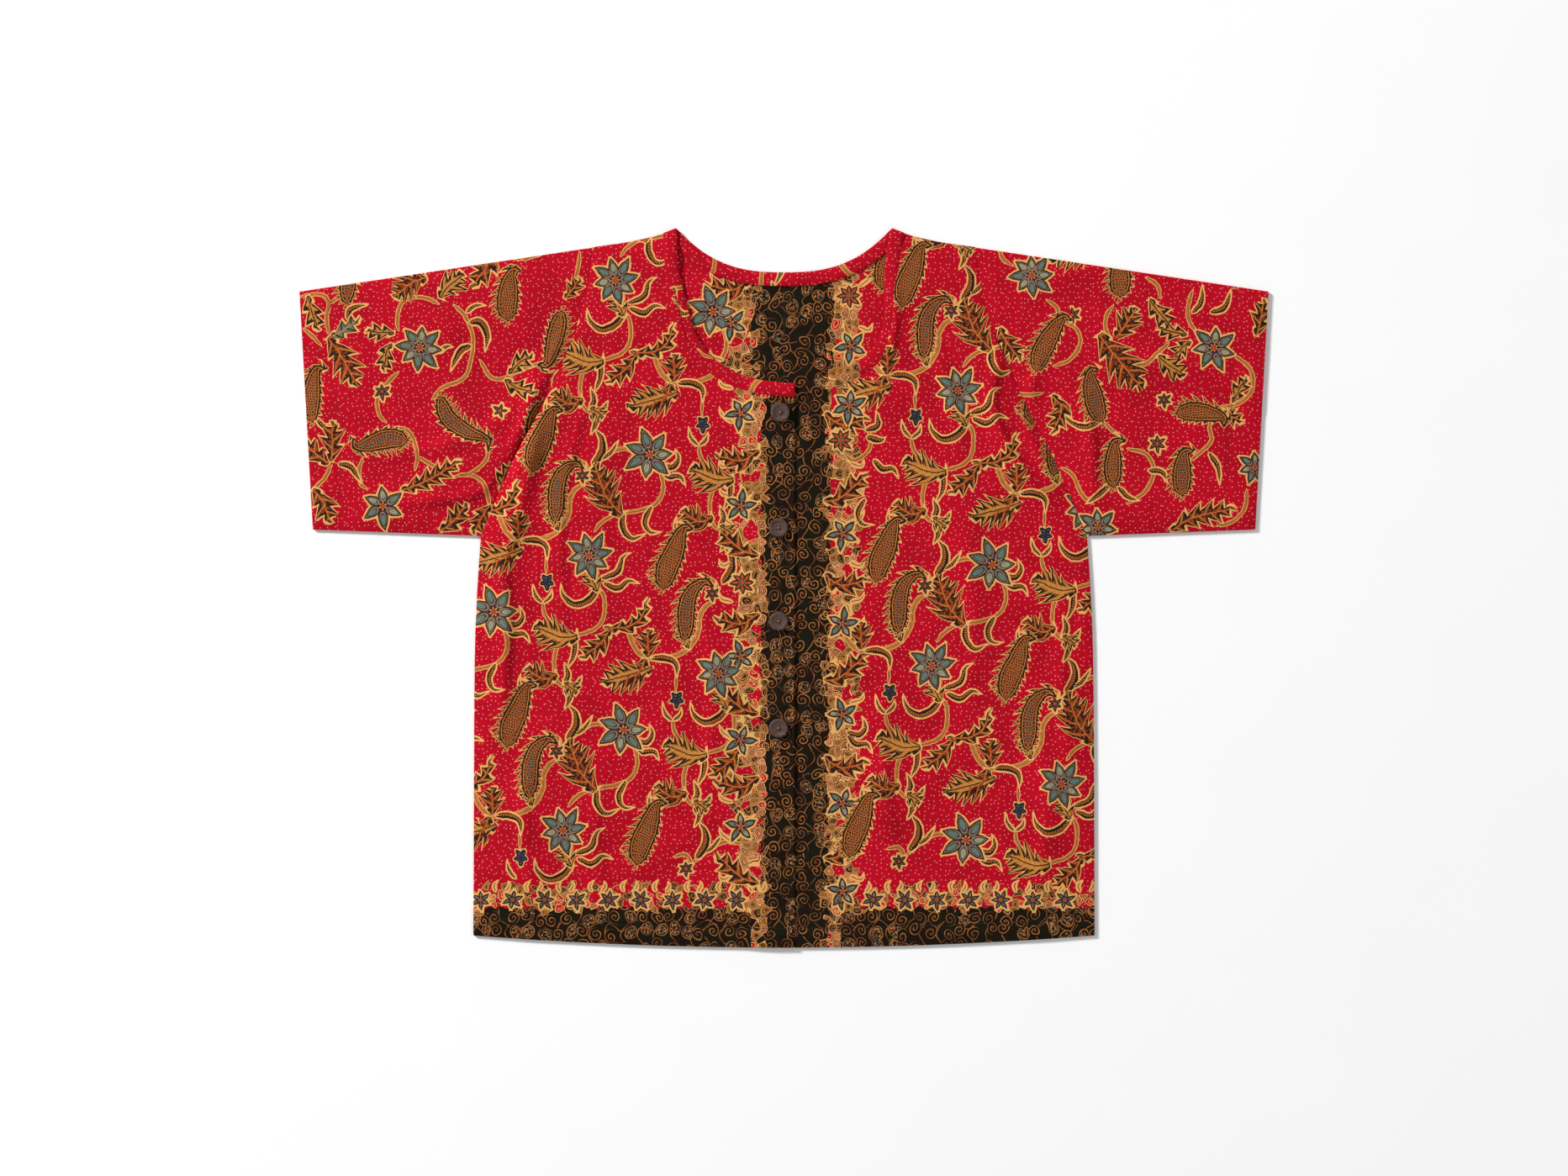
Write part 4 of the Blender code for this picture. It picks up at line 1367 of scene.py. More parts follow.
@dataclass(frozen=True)
class Weave:
    """The plain weave of the cotton, its unevenness, its faint sheen and soft patches of painted shade.

    Attributes:
        thread: The spacing of the threads, in metres.
        depth: How deep the bump is, in metres.
        rumple: How many times deeper the small soft waves are.
        roughness: The shader's roughness, threads apart.
    """

    thread: float = 0.42 * MM
    depth: float = 0.05 * MM
    rumple: float = 36.0
    roughness: float = 0.86

    @cache
    def group(self) -> bpy.types.NodeTree:
        """The node group: a height, a shade to multiply the print by, made of thread slubs and soft patches
        of painted shade, and a roughness.
        """
        group = Group("weave", {"Place": "Vector"},
                      {"Height": "Float", "Shade": "Float", "Roughness": "Float"})
        place = group.input("Place")
        x, y, _ = parts_of(place)
        rate = math.tau / self.thread
        # Painted shade: the broad noise darkens and lightens the colour a little in soft patches, standing in
        # for the shade of folds; it also varies the roughness as wear.
        slub, wear_and_shade = Speckle(420.0, 2.0).noise(place), Speckle(22.0, 4.0).noise(place)
        threads = (x * rate).sine() * (y * rate).sine() * 0.5 + 0.5
        rumple = Speckle(58.0, 3.0).noise(place) * self.rumple
        return group.give(Height=threads * 0.6 + slub * 0.8 + rumple,
                          Shade=0.93 + slub * 0.10 + wear_and_shade * 0.05,
                          Roughness=self.roughness - 0.10 * slub + 0.04 * wear_and_shade)


class Surface:
    """A material being made: its nodes, its shader and the place that its patterns read."""

    def __init__(self, name: str) -> None:
        """Makes the material."""
        self.material = bpy.data.materials.new(name)
        self.material.use_nodes = True
        self.tree = self.material.node_tree
        self.shader = self.tree.nodes["Principled BSDF"]
        self.place = Signal(self.tree, self.tree.nodes.new("ShaderNodeTexCoord").outputs["Object"])

    def attribute(self, name: str) -> Signal:
        """A vector that the piece's mesh carries."""
        node = self.tree.nodes.new("ShaderNodeAttribute")
        node.attribute_name = name
        return Signal(self.tree, node.outputs["Vector"])

    def finish(self, colour: Signal, roughness: Number, specular: float = 0.5, height: Signal | None = None,
               depth: float = 0.0, strength: float = 0.7) -> bpy.types.Material:
        """Sets the shader.

        Args:
            colour: The base colour.
            roughness: The roughness.
            specular: The strength of the gloss.
            height: From 0 to 1, where the surface has a relief.
            depth: How deep the relief is, in metres.
            strength: How much of it is seen.

        Returns:
            The finished material.
        """
        for name, value in (("Base Color", colour), ("Roughness", roughness),
                            ("Specular IOR Level", specular)):
            feed(self.tree, self.shader.inputs[name], value)
        if height is not None:
            bump = self.tree.nodes.new("ShaderNodeBump")
            for name, value in (("Distance", depth), ("Strength", strength), ("Height", height)):
                feed(self.tree, bump.inputs[name], value)
            self.tree.links.new(bump.outputs["Normal"], self.shader.inputs["Normal"])
        return self.material


class GroundKind(Enum):
    """What lies under the motifs of a face."""

    RED = "red"
    DARK = "dark"
    BOTH = "both"


class Recipe(NamedTuple):
    """Which layers a face of cloth shows: its ground, and the motif in each layer or None."""

    ground: GroundKind
    motifs: tuple[Motif | None, ...]


HAND_WAVER = 1.3


@cache
def cloth_material(recipe: Recipe) -> bpy.types.Material:
    """The material of the faces that show these layers: the ground, then each motif over it."""
    kinds = [kind.value for kind in recipe.motifs if kind]
    surface = Surface("_".join(["cotton", recipe.ground.value, *kinds]))
    tree, place = surface.tree, surface.place
    if recipe.ground is GroundKind.BOTH:
        depth, _, _ = parts_of(surface.attribute("border_place"))
        red, dark = (placed_group(tree, kind().group(), Place=place)["Colour"]
                     for kind in (RedGround, DarkGround))
        lace = placed_group(tree, Lace().group(), Place=place, Band=surface.attribute("border_place"))
        colour = mixed(mixed(red, dark, depth.rise(-0.3, 0.3)), lace["Colour"], lace["Body"])
    else:
        kind = RedGround() if recipe.ground is GroundKind.RED else DarkGround()
        colour = placed_group(tree, kind.group(), Place=place)["Colour"]
    waver = Speckle(260.0, 1.0).noise_vector(place)
    for layer, kind in zip(Layer, recipe.motifs):
        if kind is not None:
            motif_place = strayed(surface.attribute(layer.own("place")), waver, HAND_WAVER)
            motif = placed_group(tree, motif_group(kind), Place=motif_place,
                                 Style=surface.attribute(layer.own("style")))
            colour = mixed(colour, motif["Colour"], motif["Body"])
    weave = placed_group(tree, Weave().group(), Place=place)
    # The weave's shade, thread slubs and painted shade patches, multiplies the printed colour.
    shade = vector_of(*[weave["Shade"]] * 3)
    return surface.finish(mixed(colour, shade, 1.0, "MULTIPLY"), weave["Roughness"], 0.1, weave["Height"],
                          Weave().depth, 0.6)


# The print's layout, in photo pixels

class Mark(NamedTuple):
    """One motif of the print.

    Attributes:
        motif: What it is.
        path: Its centre line from base to tip, or its centre alone, in photo pixels.
        width: Its full width, or its radius if it is round, in photo pixels.
        count: How many lobes or petals it has.
        tint: Its set of dyes.
        turn: How far it is turned clockwise, in degrees.
    """

    motif: Motif
    path: tuple[Point, ...]
    width: float
    count: float
    tint: Tint
    turn: float

    def moved(self, dx: float, dy: float) -> "Mark":
        """A copy of it, moved in the photo's plane."""
        return self._replace(path=tuple((x + dx, y + dy) for x, y in self.path))

    def centre(self) -> Point:
        """The middle of its path."""
        return tuple(sum(numbers) / len(numbers) for numbers in zip(*self.path))


STEM_WIDTH = 5.2
FINENESS = {Motif.LEAF: 0.9, Motif.PAISLEY: 0.8, Motif.FLOWER: 0.9}
HOOK_ON, HOOK_ASIDE = 5.0, 11.0


def drawn(motif: Motif, path: Sequence[Point], width: float = STEM_WIDTH, count: float = 0.0,
          turn: float = 0.0, tint: Tint | None = None) -> Mark:
    """A motif as drawn on the cloth, where leaves and blooms come out a little finer than laid out.

    Args:
        motif: What it is.
        path: From its base to its tip, or its centre. A paisley's point hooks on to one side of it.
        width: Its width, or its radius if it is round, in photo pixels.
        count: How many lobes or petals it has.
        turn: How far it is turned clockwise, in degrees.
        tint: Its set of dyes. Flowers are teal and the rest dark where it isn't given.

    Returns:
        The mark.
    """
    if motif is Motif.PAISLEY:
        (ax, ay), (bx, by) = path[-2:]
        length = math.hypot(bx - ax, by - ay)
        ahead, aside = (bx - ax) / length, (by - ay) / length
        path = (*path, (bx + HOOK_ON * ahead - HOOK_ASIDE * aside,
                        by + HOOK_ON * aside + HOOK_ASIDE * ahead))
    tint = tint or (Tint.TEAL if motif is Motif.FLOWER else Tint.DARK)
    return Mark(motif, tuple(path), FINENESS.get(motif, 1.0) * width, count, tint, turn)


def layout(text: str) -> list[Mark]:
    """Motifs from a written layout, in its order.

    Args:
        text: Each motif's kind, then its width, count, turn and dyes as far as it has them, a colon,
            and the points of its path, such as "leaf 20 2 warm: 666,632 656,610".

    Returns:
        The marks.
    """
    found = []
    for kind, words, path in re.findall(r"([a-z]+)([^:]*):([\d,\s]+)", text):
        sizes = words.split()
        tint = Tint[sizes.pop().upper()] if sizes and sizes[-1].isalpha() else None
        points = [tuple(float(number) for number in place.split(",")) for place in path.split()]
        found.append(drawn(Motif(kind), points, *[float(size) for size in sizes], tint=tint))
    return found


REPEAT_STEPS = ((-185.0, 187.0), (-31.0, 327.0))
REPEAT_UNIT = layout("""
flower 37 7 -12: 773,541
horn 13: 786,553 800,556 807,546 803,533
horn 13: 787,557 796,567 809,567 816,579
vine: 760,538 748,534 735,535 722,542 710,552 700,560
vine: 700,561 697,553 690,549 678,552
horn 16: 706,553 716,538 716,522 706,509
horn 10: 717,546 727,538 737,523
paisley 27: 661,620 662,600 663,580 670,562 684,552
leaf 20 2 warm: 666,632 656,610
vine 6.4: 695,575 684,583 678,595 677,610 670,625 660,635 645,641 630,643 617,643 608,638 600,628 594,612
591,602
flower 12 6 0 warm: 693,566
leaf 32 2.5: 618,642 616,613
leaf 38 4: 613,643 606,660 582,671
horn 14: 622,643 638,643 650,650 651,668
vine 4: 650,660 650,684
berry 9.5: 651,692
horn 9: 645,717 637,708 634,694
horn 9: 647,717 655,710 657,700
vine: 646,716 648,730 655,740 664,750 684,757
leaf 44 3.5 warm: 688,756 668,758 643,748
horn 12: 684,757 683,778 674,797
vine: 784,556 789,575 787,590 778,601 762,607 745,610 730,613 715,622 707,633
leaf 46 4: 741,613 722,592 711,562
horn 13: 741,610 741,628 752,641 770,634
horn 12: 775,603 767,620 773,633 788,633
flower 34 8 -8: 701,661
leaf 28 2.5 warm: 712,704 702,684
horn 13: 717,688 735,680 741,663 752,657
horn 13: 719,694 735,700 748,691 762,695
horn 15: 712,700 700,714 684,719 671,709 667,693
vine: 713,698 719,712 718,735 708,748 692,754 684,757
leaf 20 4: 718,747 745,746 762,736 769,718
leaf 26 3: 726,748 715,765 696,779
paisley 36 warm: 789,699 793,678 802,657 812,630
horn 8: 807,637 803,626 805,613
horn 8: 812,637 820,630 824,622
vine 3.5: 791,690 780,692 768,682
vine: 684,757 668,762 660,780 660,800 664,812 676,820
leaf 34 3.5: 663,801 648,808 630,798
leaf 24 2.5 warm: 671,812 686,822
horn 12: 671,813 676,803 671,787
horn 12: 677,817 686,815 693,803
horn 12: 672,821 678,830 671,845
leaf 38 4 warm: 777,793 755,801 724,809
""")

RIGHT_SLEEVE_MARKS = layout("""
flower 34 8 10: 500,414
flower 33 6: 456,602
paisley 34 warm: 605,380 604,360 609,326
paisley 32: 484,524 462,522 428,531
paisley 30 warm: 372,500 370,480 376,442
paisley 26: 524,474 533,497 556,514 580,523
paisley 28 warm: 668,372 662,396 652,432
paisley 30 warm: 645,480 637,510 634,552
leaf 36 4: 508,330 490,337 474,350
leaf 34 3 warm: 525,356 531,344 548,330
vine: 523,362 503,354 483,357 475,368 473,385 475,394
vine: 540,363 554,377 563,402 560,431 551,451 526,462 514,476
vine: 571,428 583,448 597,451 617,442 640,434 660,436
vine: 475,442 463,454 452,468 449,480 452,494 460,503
vine: 469,508 486,513 494,528 497,545 494,560
vine: 432,545 428,559 430,576 438,582
vine: 540,567 560,565 574,573 580,587 583,604
vine: 579,522 580,545 563,562 545,567
vine: 358,353 383,351 392,362 389,377 391,397
vine: 392,362 412,348 419,341
vine: 361,391 372,400 383,412
vine: 395,553 386,570 372,582
flower 13 6 0 warm: 455,466
leaf 36 3.5: 390,402 404,420 422,452
leaf 22 2.5 teal: 393,402 408,394 424,382
horn 12: 414,380 418,368 440,362
leaf 22 2.5 warm: 470,396 456,396 440,395
leaf 22 2.5 warm: 466,408 460,420 458,438
horn 10: 522,420 532,412 540,414
horn 15: 560,384 572,384 580,400 577,420
horn 14: 560,412 550,416 542,428 536,443
horn 10: 556,372 566,364 580,364
leaf 26 5: 478,584 508,572 543,552
horn 13: 404,552 418,556 431,576
leaf 30 2.5: 395,550 396,530 396,508
leaf 28 2.5: 392,552 376,540 364,528
leaf 30 2.5: 372,582 384,596 392,616
leaf 28 2.5: 524,632 540,620 552,604
leaf 26 2.5: 583,600 574,614 566,630
leaf 24 2.5 warm: 600,452 616,462 634,466
leaf 24 2.5 warm: 606,446 616,434 630,424
flower 12 5 20 warm: 595,489
leaf 22 2.5: 672,356 680,346 688,334
leaf 24 2.5 warm: 598,588 600,570 606,556
leaf 24 2.5 warm: 366,352 372,372 378,388
leaf 30 3: 560,300 580,314 566,336
vine: 497,543 512,552 524,560 540,567
vine: 698,420 676,424 670,446 680,470 700,484 712,478
vine: 646,556 652,574 640,592 620,612 600,630 590,652
vine: 700,542 690,556 676,560
vine: 690,300 688,318 684,332
horn 12: 672,440 662,448 656,466
horn 13: 688,476 694,494 712,500
leaf 26 2.5: 676,424 688,414 704,408
leaf 24 2.5: 620,610 640,612 656,624
leaf 30 3 warm: 656,560 660,586 664,612
horn 11: 357,330 364,338 372,330
horn 11: 376,498 388,508 402,500
""")
LEFT_SLEEVE_MARKS = layout("""
flower 33 8: 1227,328
flower 33 7 10: 1443,414
flower 30 7: 1305,627
flower 26 7: 1492,556
paisley 32 warm: 1232,440 1240,416 1262,380
paisley 34 warm: 1332,352 1332,336 1334,306
paisley 30 warm: 1400,492 1420,490 1452,496
paisley 30: 1406,588 1405,570 1408,540
paisley 28 warm: 1324,578 1323,558 1326,528
paisley 32: 1310,500 1303,484 1296,446
flower 13 6 0 warm: 1275,375
flower 13 6 0 warm: 1216,502
flower 12 6 0 warm: 1384,476
flower 14 6 0 warm: 1376,528
vine: 1244,357 1256,366 1262,380 1280,392 1284,410 1272,428 1252,436
vine: 1324,363 1315,377 1315,394 1322,404
vine: 1347,434 1361,434 1375,422 1390,408
vine: 1418,345 1412,368 1415,385 1424,396
vine: 1466,422 1486,439 1489,462 1475,479 1446,488 1438,508 1440,525 1423,542 1415,548
vine: 1310,500 1322,512 1332,520 1330,534
vine: 1300,600 1286,588 1276,566 1262,556
leaf 34 3: 1326,404 1336,390 1348,372
leaf 44 4: 1306,398 1326,424 1352,456
leaf 30 2.5 warm: 1376,424 1388,434 1404,444
leaf 22 2.5 warm: 1412,398 1398,396 1380,392
leaf 22 2.5 warm: 1416,406 1406,414 1396,424
horn 12: 1418,372 1428,360 1430,338
horn 13: 1440,372 1456,366 1464,344
leaf 26 2.5: 1494,400 1498,384 1502,362
leaf 22 2.5 warm: 1466,480 1472,466 1480,452
leaf 22 2.5: 1446,488 1460,494 1474,500
horn 12: 1438,540 1448,556 1450,578
leaf 28 5: 1392,632 1418,616 1462,606
leaf 24 2.5: 1250,540 1244,555 1232,568
horn 13: 1310,500 1290,508 1270,500 1262,484
horn 13: 1318,578 1304,590 1290,600
horn 12: 1330,580 1342,592 1356,596
leaf 26 2.5 warm: 1366,356 1376,370 1390,386
leaf 24 2.5: 1220,600 1236,590 1256,586
leaf 28 3: 1188,390 1196,406 1210,424
leaf 26 3: 1250,470 1262,486 1254,510
vine: 1206,420 1194,440 1200,462 1220,470 1240,468
vine: 1340,534 1362,540 1372,560 1362,584 1340,600
vine: 1482,582 1480,604 1466,620 1446,626
vine: 1362,330 1376,340 1380,356
horn 12: 1366,560 1382,562 1388,576
horn 12: 1198,450 1184,458 1182,474
leaf 28 3 warm: 1216,540 1226,560 1218,584
""")
NECK_BLOOM = layout("""
flower 26 6 10: 1010,483
vine 5: 1012,502 1032,512 1034,534 1016,548 1004,540
horn 13: 1030,512 1044,506 1042,488
horn 14: 1032,520 1046,524 1054,520
""")
LACE_TOP, LACE_FOOT = 462.0, 1046.0
HEM_LACE_Y, HEM_LACE_STEP = 1068.0, 38.0
REPEAT_FOOT = 1036


def lace_column(x: float, side: int, flowers: Sequence[float], stars: Sequence[float],
                leaves: Sequence[float],
                top: float = LACE_TOP) -> list[Mark]:
    """The lace beside a dark border that runs down the shirt.

    Args:
        x: The middle of the lace.
        side: -1 if the red cloth is to its left.
        flowers: The heights of its teal flowers.
        stars: The heights of its orange flowers.
        leaves: The heights of its dark leaves.
        top: Where it starts.

    Returns:
        Its marks.
    """
    found = [drawn(Motif.FLOWER, [(x + 2 * side, y)], 24, 5, 12 * ((index * 3) % 5 - 2))
             for index, y in enumerate(flowers)]
    found += [drawn(Motif.FLOWER, [(x, y)], 18, 8, 0, Tint.WARM) for y in stars]
    for index, y in enumerate(leaves):
        lean = 10 if index % 2 else -8
        path = [(x - 20 * side, y + lean), (x, y + 5), (x + 26 * side, y - lean - 8)]
        found.append(drawn(Motif.LEAF, path, 28, 3))
    row, y = 0, top
    while y < LACE_FOOT:
        lift = 8.0 * math.sin(row * 2.1)
        path = [(x + 12 * side, y), (x + 24 * side, y - 3 - lift), (x + 28 * side, y - 12 - lift)]
        found.append(drawn(Motif.HORN, path, 9, tint=Tint.LACE))
        row, y = row + 1, y + 41.0 + 7.0 * math.sin(row * 1.7)
    return found


def lace_row(start: float, end: float) -> list[Mark]:
    """The lace along the hem, from one photo column to another."""
    found = []
    horns = (((18, -8), (16, -15), (22, -22)), ((30, -8), (34, -14), (33, -21)))
    for index, x in enumerate(np.arange(start, end, HEM_LACE_STEP)):
        found.append(drawn(Motif.FLOWER, [(x, HEM_LACE_Y + 2)], 15, 6, 15 * (index % 3), Tint.TEAL))
        for path in horns:
            hook = [(x + dx, HEM_LACE_Y + dy) for dx, dy in path]
            found.append(drawn(Motif.HORN, hook, 8, tint=Tint.LACE))
    return found


def repeated(dx: float, dy: float, keep: Callable[[float, float], bool]) -> list[Mark]:
    """The repeat unit all over the cloth.

    Args:
        dx: How far the first unit is moved to the right, in photo pixels.
        dy: How far it is moved down.
        keep: Whether a mark whose middle is at a place stays.

    Returns:
        The marks that stay.
    """
    (ax, ay), (bx, by) = REPEAT_STEPS
    found = [mark.moved(dx + i * ax + j * bx, dy + i * ay + j * by)
             for i in range(-5, 6) for j in range(-4, 5) for mark in REPEAT_UNIT]
    return [mark for mark in found if keep(*mark.centre())]


class PlacedMark:
    """A mark of the print, measured in metres, ready to be drawn on faces of cloth."""

    ROOM = {Motif.PAISLEY: 6.4 * MM, Motif.LEAF: 2.6 * MM, Motif.BERRY: 0.8 * MM, Motif.FLOWER: 0.8 * MM}
    MARGIN = 2.6 * MM
    VINE_END, VINE_END_LENGTH = 0.45, 11.0

    def __init__(self, mark: Mark) -> None:
        """Works out its line, or its centre, and how far it reaches."""
        self.mark = mark
        self.width = mark.width * PIXEL
        self.is_round = mark.motif.is_round
        points = np.array([photo_point(*mark.path[0])]) if self.is_round else spline(mark.path)
        self.line = None if self.is_round else Spine(points)
        self.centre = points[0]
        self.reach = self.ROOM.get(mark.motif, 0.0) + (self.width if self.is_round else self.width / 2)
        room = self.reach + self.MARGIN
        self.low, self.high = points.min(0) - room, points.max(0) + room

    def near(self, places: np.ndarray) -> np.ndarray:
        """The numbers of the places within its box."""
        return np.flatnonzero(((places > self.low) & (places < self.high)).all(axis=1))

    def distance(self, places: np.ndarray) -> tuple[np.ndarray, np.ndarray]:
        """How far each place lies outside it, negative inside it, and the nearest step of its line."""
        if self.line is None:
            return np.linalg.norm(places - self.centre, axis=1) - self.reach, np.zeros(len(places), int)
        along, beside, step = self.line.nearest(places)
        share = self.line.share(along)
        taper = np.minimum(1, 2.2 * np.sqrt((share + 0.02) * (1.02 - share)))
        if self.mark.motif in (Motif.VINE, Motif.HORN):
            taper = 1.0 if self.mark.motif is Motif.VINE else 1.1 * (1 - share) ** 0.6
        return np.hypot(beside, self.line.past_ends(along)) - self.reach * taper, step

    def coordinates(self, places: np.ndarray, step: np.ndarray) -> np.ndarray:
        """What a painter reads at each place, in millimetres."""
        if self.line is None:
            angle = math.radians(self.mark.turn)
            away = (places - self.centre) / MM
            right = away @ np.array([math.cos(angle), -math.sin(angle)])
            up = away @ np.array([math.sin(angle), math.cos(angle)])
            return np.column_stack([right, up, np.full(len(places), self.width / MM)])
        along, beside, _ = self.line.nearest(places, step)
        over = self.line.past_ends(along) / MM
        along, beside, length = along / MM, beside / MM, self.line.length / MM
        if self.mark.motif is not Motif.VINE:
            return np.column_stack([along, beside, np.full(len(places), length)])
        to_end = np.minimum(along, length - along)
        taper = np.clip(self.VINE_END + to_end / self.VINE_END_LENGTH, self.VINE_END, 1.0)
        return np.column_stack([along, beside, self.width / MM / 2 * taper - over])

    def style(self) -> tuple[float, float, float]:
        """What a painter needs besides its coordinates."""
        if self.is_round:
            return self.mark.count, self.mark.tint.value, abs(self.mark.turn) % 7
        return self.width / MM, self.mark.count, self.mark.tint.value


class Corners:
    """The faces of a mesh, with each face corner's place in the flat cloth."""

    def __init__(self, mesh: bpy.types.Mesh) -> None:
        """Reads the mesh, and its plan attribute where it was folded."""
        self.mesh = mesh
        if "plan" in mesh.attributes:
            flat = read(mesh.attributes["plan"].data, "vector", float, 3)
        else:
            flat = read(mesh.vertices, "co", float, 3)
        total = read(mesh.polygons, "loop_total")
        self.places = flat.reshape(-1, 3)[read(mesh.loops, "vertex_index"), :2]
        self.face = np.repeat(np.arange(len(total)), total)
        sums = np.add.reduceat(self.places, read(mesh.polygons, "loop_start"), axis=0)
        self.centres = sums / total[:, None]

    def keep(self, name: str, values: np.ndarray) -> None:
        """Stores a vector for each corner."""
        kept = self.mesh.attributes.new(name, "FLOAT_VECTOR", "CORNER")
        kept.data.foreach_set("vector", values.astype(np.float32).ravel())


LACE_STEP_OUT = 12.5
LACE_ROOM = 21 * MM
FAR = 3000.0


@dataclass(frozen=True)
class Border:
    """The dark border of a piece, with a band of lace along its edges.

    Attributes:
        bands: The photo columns from which and to which it runs down the shirt.
        hem: Whether it also runs along the hem.
        hem_line: The photo row of its edge there.
        scallop: How far its edge waves, in metres.
    """

    bands: tuple[Point, ...] = ()
    hem: bool = True
    hem_line: float = 1079.0
    scallop: float = 1.2 * MM

    def depth(self, places: np.ndarray) -> np.ndarray:
        """How far inside the border each place lies, in metres."""
        found = np.full(len(places), -1.0)
        x, y = places.T
        for start, end in self.bands:
            wave = self.scallop * np.sin(y * math.tau / (9 * MM)) * np.sin(y * math.tau / (31 * MM))
            inside = np.minimum(x - photo_point(start, 0)[0], photo_point(end, 0)[0] - x)
            found = np.maximum(found, inside + wave)
        if self.hem:
            wave = self.scallop * np.sin(x * math.tau / (8 * MM))
            found = np.maximum(found, photo_point(0, self.hem_line)[1] - y + wave)
        return found

    def lace(self, places: np.ndarray) -> tuple[np.ndarray, np.ndarray]:
        """How far from the lace's middle each place lies, and 1 where that lace runs along the hem.

        The hem has no lace in a dark band that runs down the shirt.
        """
        x, y = places.T
        across, is_hem, in_band = np.full(len(x), 1.0), np.zeros(len(x)), np.zeros(len(x), bool)
        for start, end in self.bands:
            left, right = photo_point(start - LACE_STEP_OUT, 0)[0], photo_point(end + LACE_STEP_OUT, 0)[0]
            in_band |= (x > left) & (x < right)
            for gap in (x - left, x - right):
                across = np.where(abs(gap) < abs(across), gap, across)
        if self.hem:
            gap = y - photo_point(0, HEM_LACE_Y)[1]
            nearer = ((abs(gap) < abs(across)) | (gap < -LACE_ROOM / 2)) & ~in_band
            across, is_hem = np.where(nearer, gap, across), np.where(nearer, 1.0, 0.0)
        return across, is_hem


@dataclass
class Print:
    """The print of one piece of cloth.

    Attributes:
        marks: Its motifs.
        border: The dark border and the lace beside it.
        blend: How far round the border's edge the faces show both grounds, in metres.
    """

    marks: list[Mark]
    border: Border
    blend: float = 2.4 * MM

    def dress(self, made: bpy.types.Object) -> None:
        """Gives each face the motifs that cross it, as corner attributes and a material."""
        corners = Corners(made.data)
        depth, (across, hem) = self.border.depth(corners.places), self.border.lace(corners.places)
        corners.keep("border_place", np.column_stack([depth / MM, across / MM, hem]))
        middle = self.border.depth(corners.centres)
        laced = abs(self.border.lace(corners.centres)[0]) < LACE_ROOM
        both = laced | (abs(middle) <= self.blend)
        kinds = [np.where(both, 2, np.where(middle > 0, 1, 0))]
        motifs = [None, *Motif]
        for layer in Layer:
            marks = [mark for mark in self.marks if mark.motif.layer is layer]
            owner = self.print_layer(corners, layer, marks)
            kinds.append(np.array([0] + [motifs.index(mark.motif) for mark in marks])[owner + 1])
        recipes, index = np.unique(np.column_stack(kinds[::-1]), axis=0, return_inverse=True)
        for *motif_kinds, ground in recipes:
            recipe = Recipe(list(GroundKind)[ground], tuple(motifs[kind] for kind in motif_kinds[::-1]))
            made.data.materials.append(cloth_material(recipe))
        made.data.polygons.foreach_set("material_index", index.ravel().astype(np.int32))

    @staticmethod
    def print_layer(corners: Corners, layer: Layer, marks: list[Mark]) -> np.ndarray:
        """Stores one layer's coordinates and returns the number of the mark that owns each face, or -1."""
        count = len(corners.centres)
        best, owner, near_step = np.full(count, 1e9), np.full(count, -1), np.zeros(count, int)
        placed = [PlacedMark(mark) for mark in marks]
        for number, mark in enumerate(placed):
            near = mark.near(corners.centres)
            if len(near):
                cost, step = mark.distance(corners.centres[near])
                better = (cost < best[near]) & (cost < mark.MARGIN)
                chosen = near[better]
                best[chosen], owner[chosen], near_step[chosen] = cost[better], number, step[better]
        place, style = np.zeros((len(corners.face), 3)), np.zeros((len(corners.face), 3))
        corner_owner = owner[corners.face]
        order = np.argsort(corner_owner, kind="stable")
        ends = np.searchsorted(corner_owner[order], np.arange(len(placed) + 1))
        for number, mark in enumerate(placed):
            rows = order[ends[number]:ends[number + 1]]
            if len(rows):
                place[rows] = mark.coordinates(corners.places[rows], near_step[corners.face[rows]])
                style[rows] = mark.style()
        corners.keep(layer.own("place"), place)
        corners.keep(layer.own("style"), style)
        return owner


FRONT_EDGES = {"right_front": (905.0, FAR), "left_front": (-FAR, 988.0)}
FRONT_LACE = {
    "right_front": (883.0, -1, (492, 602, 781, 880, 983), (693,), (543, 650, 737, 838, 931, 1039)),
    "left_front": (1000.0, 1, (635, 742, 850, 955, 1060), (524,), (500, 587, 691, 800, 908, 1012)),
}
BACK_BAND = (892.0, 994.0)
BACK_LACE = (
    (BACK_BAND[0] - 20, -1, (385, 520, 640, 760, 880, 1000), (452, 700), (340, 580, 820, 940), 300),
    (BACK_BAND[1] + 16, 1, (412, 540, 660, 780, 900, 1010), (352, 600, 840), (470, 720, 960), 300),
)
SLEEVES = {
    "right_sleeve": (RIGHT_SLEEVE_MARKS, (60, 20), (357, 347), (704, 295)),
    "left_sleeve": (LEFT_SLEEVE_MARKS, (467, 151), (1508, 347), (1161, 295)),
}


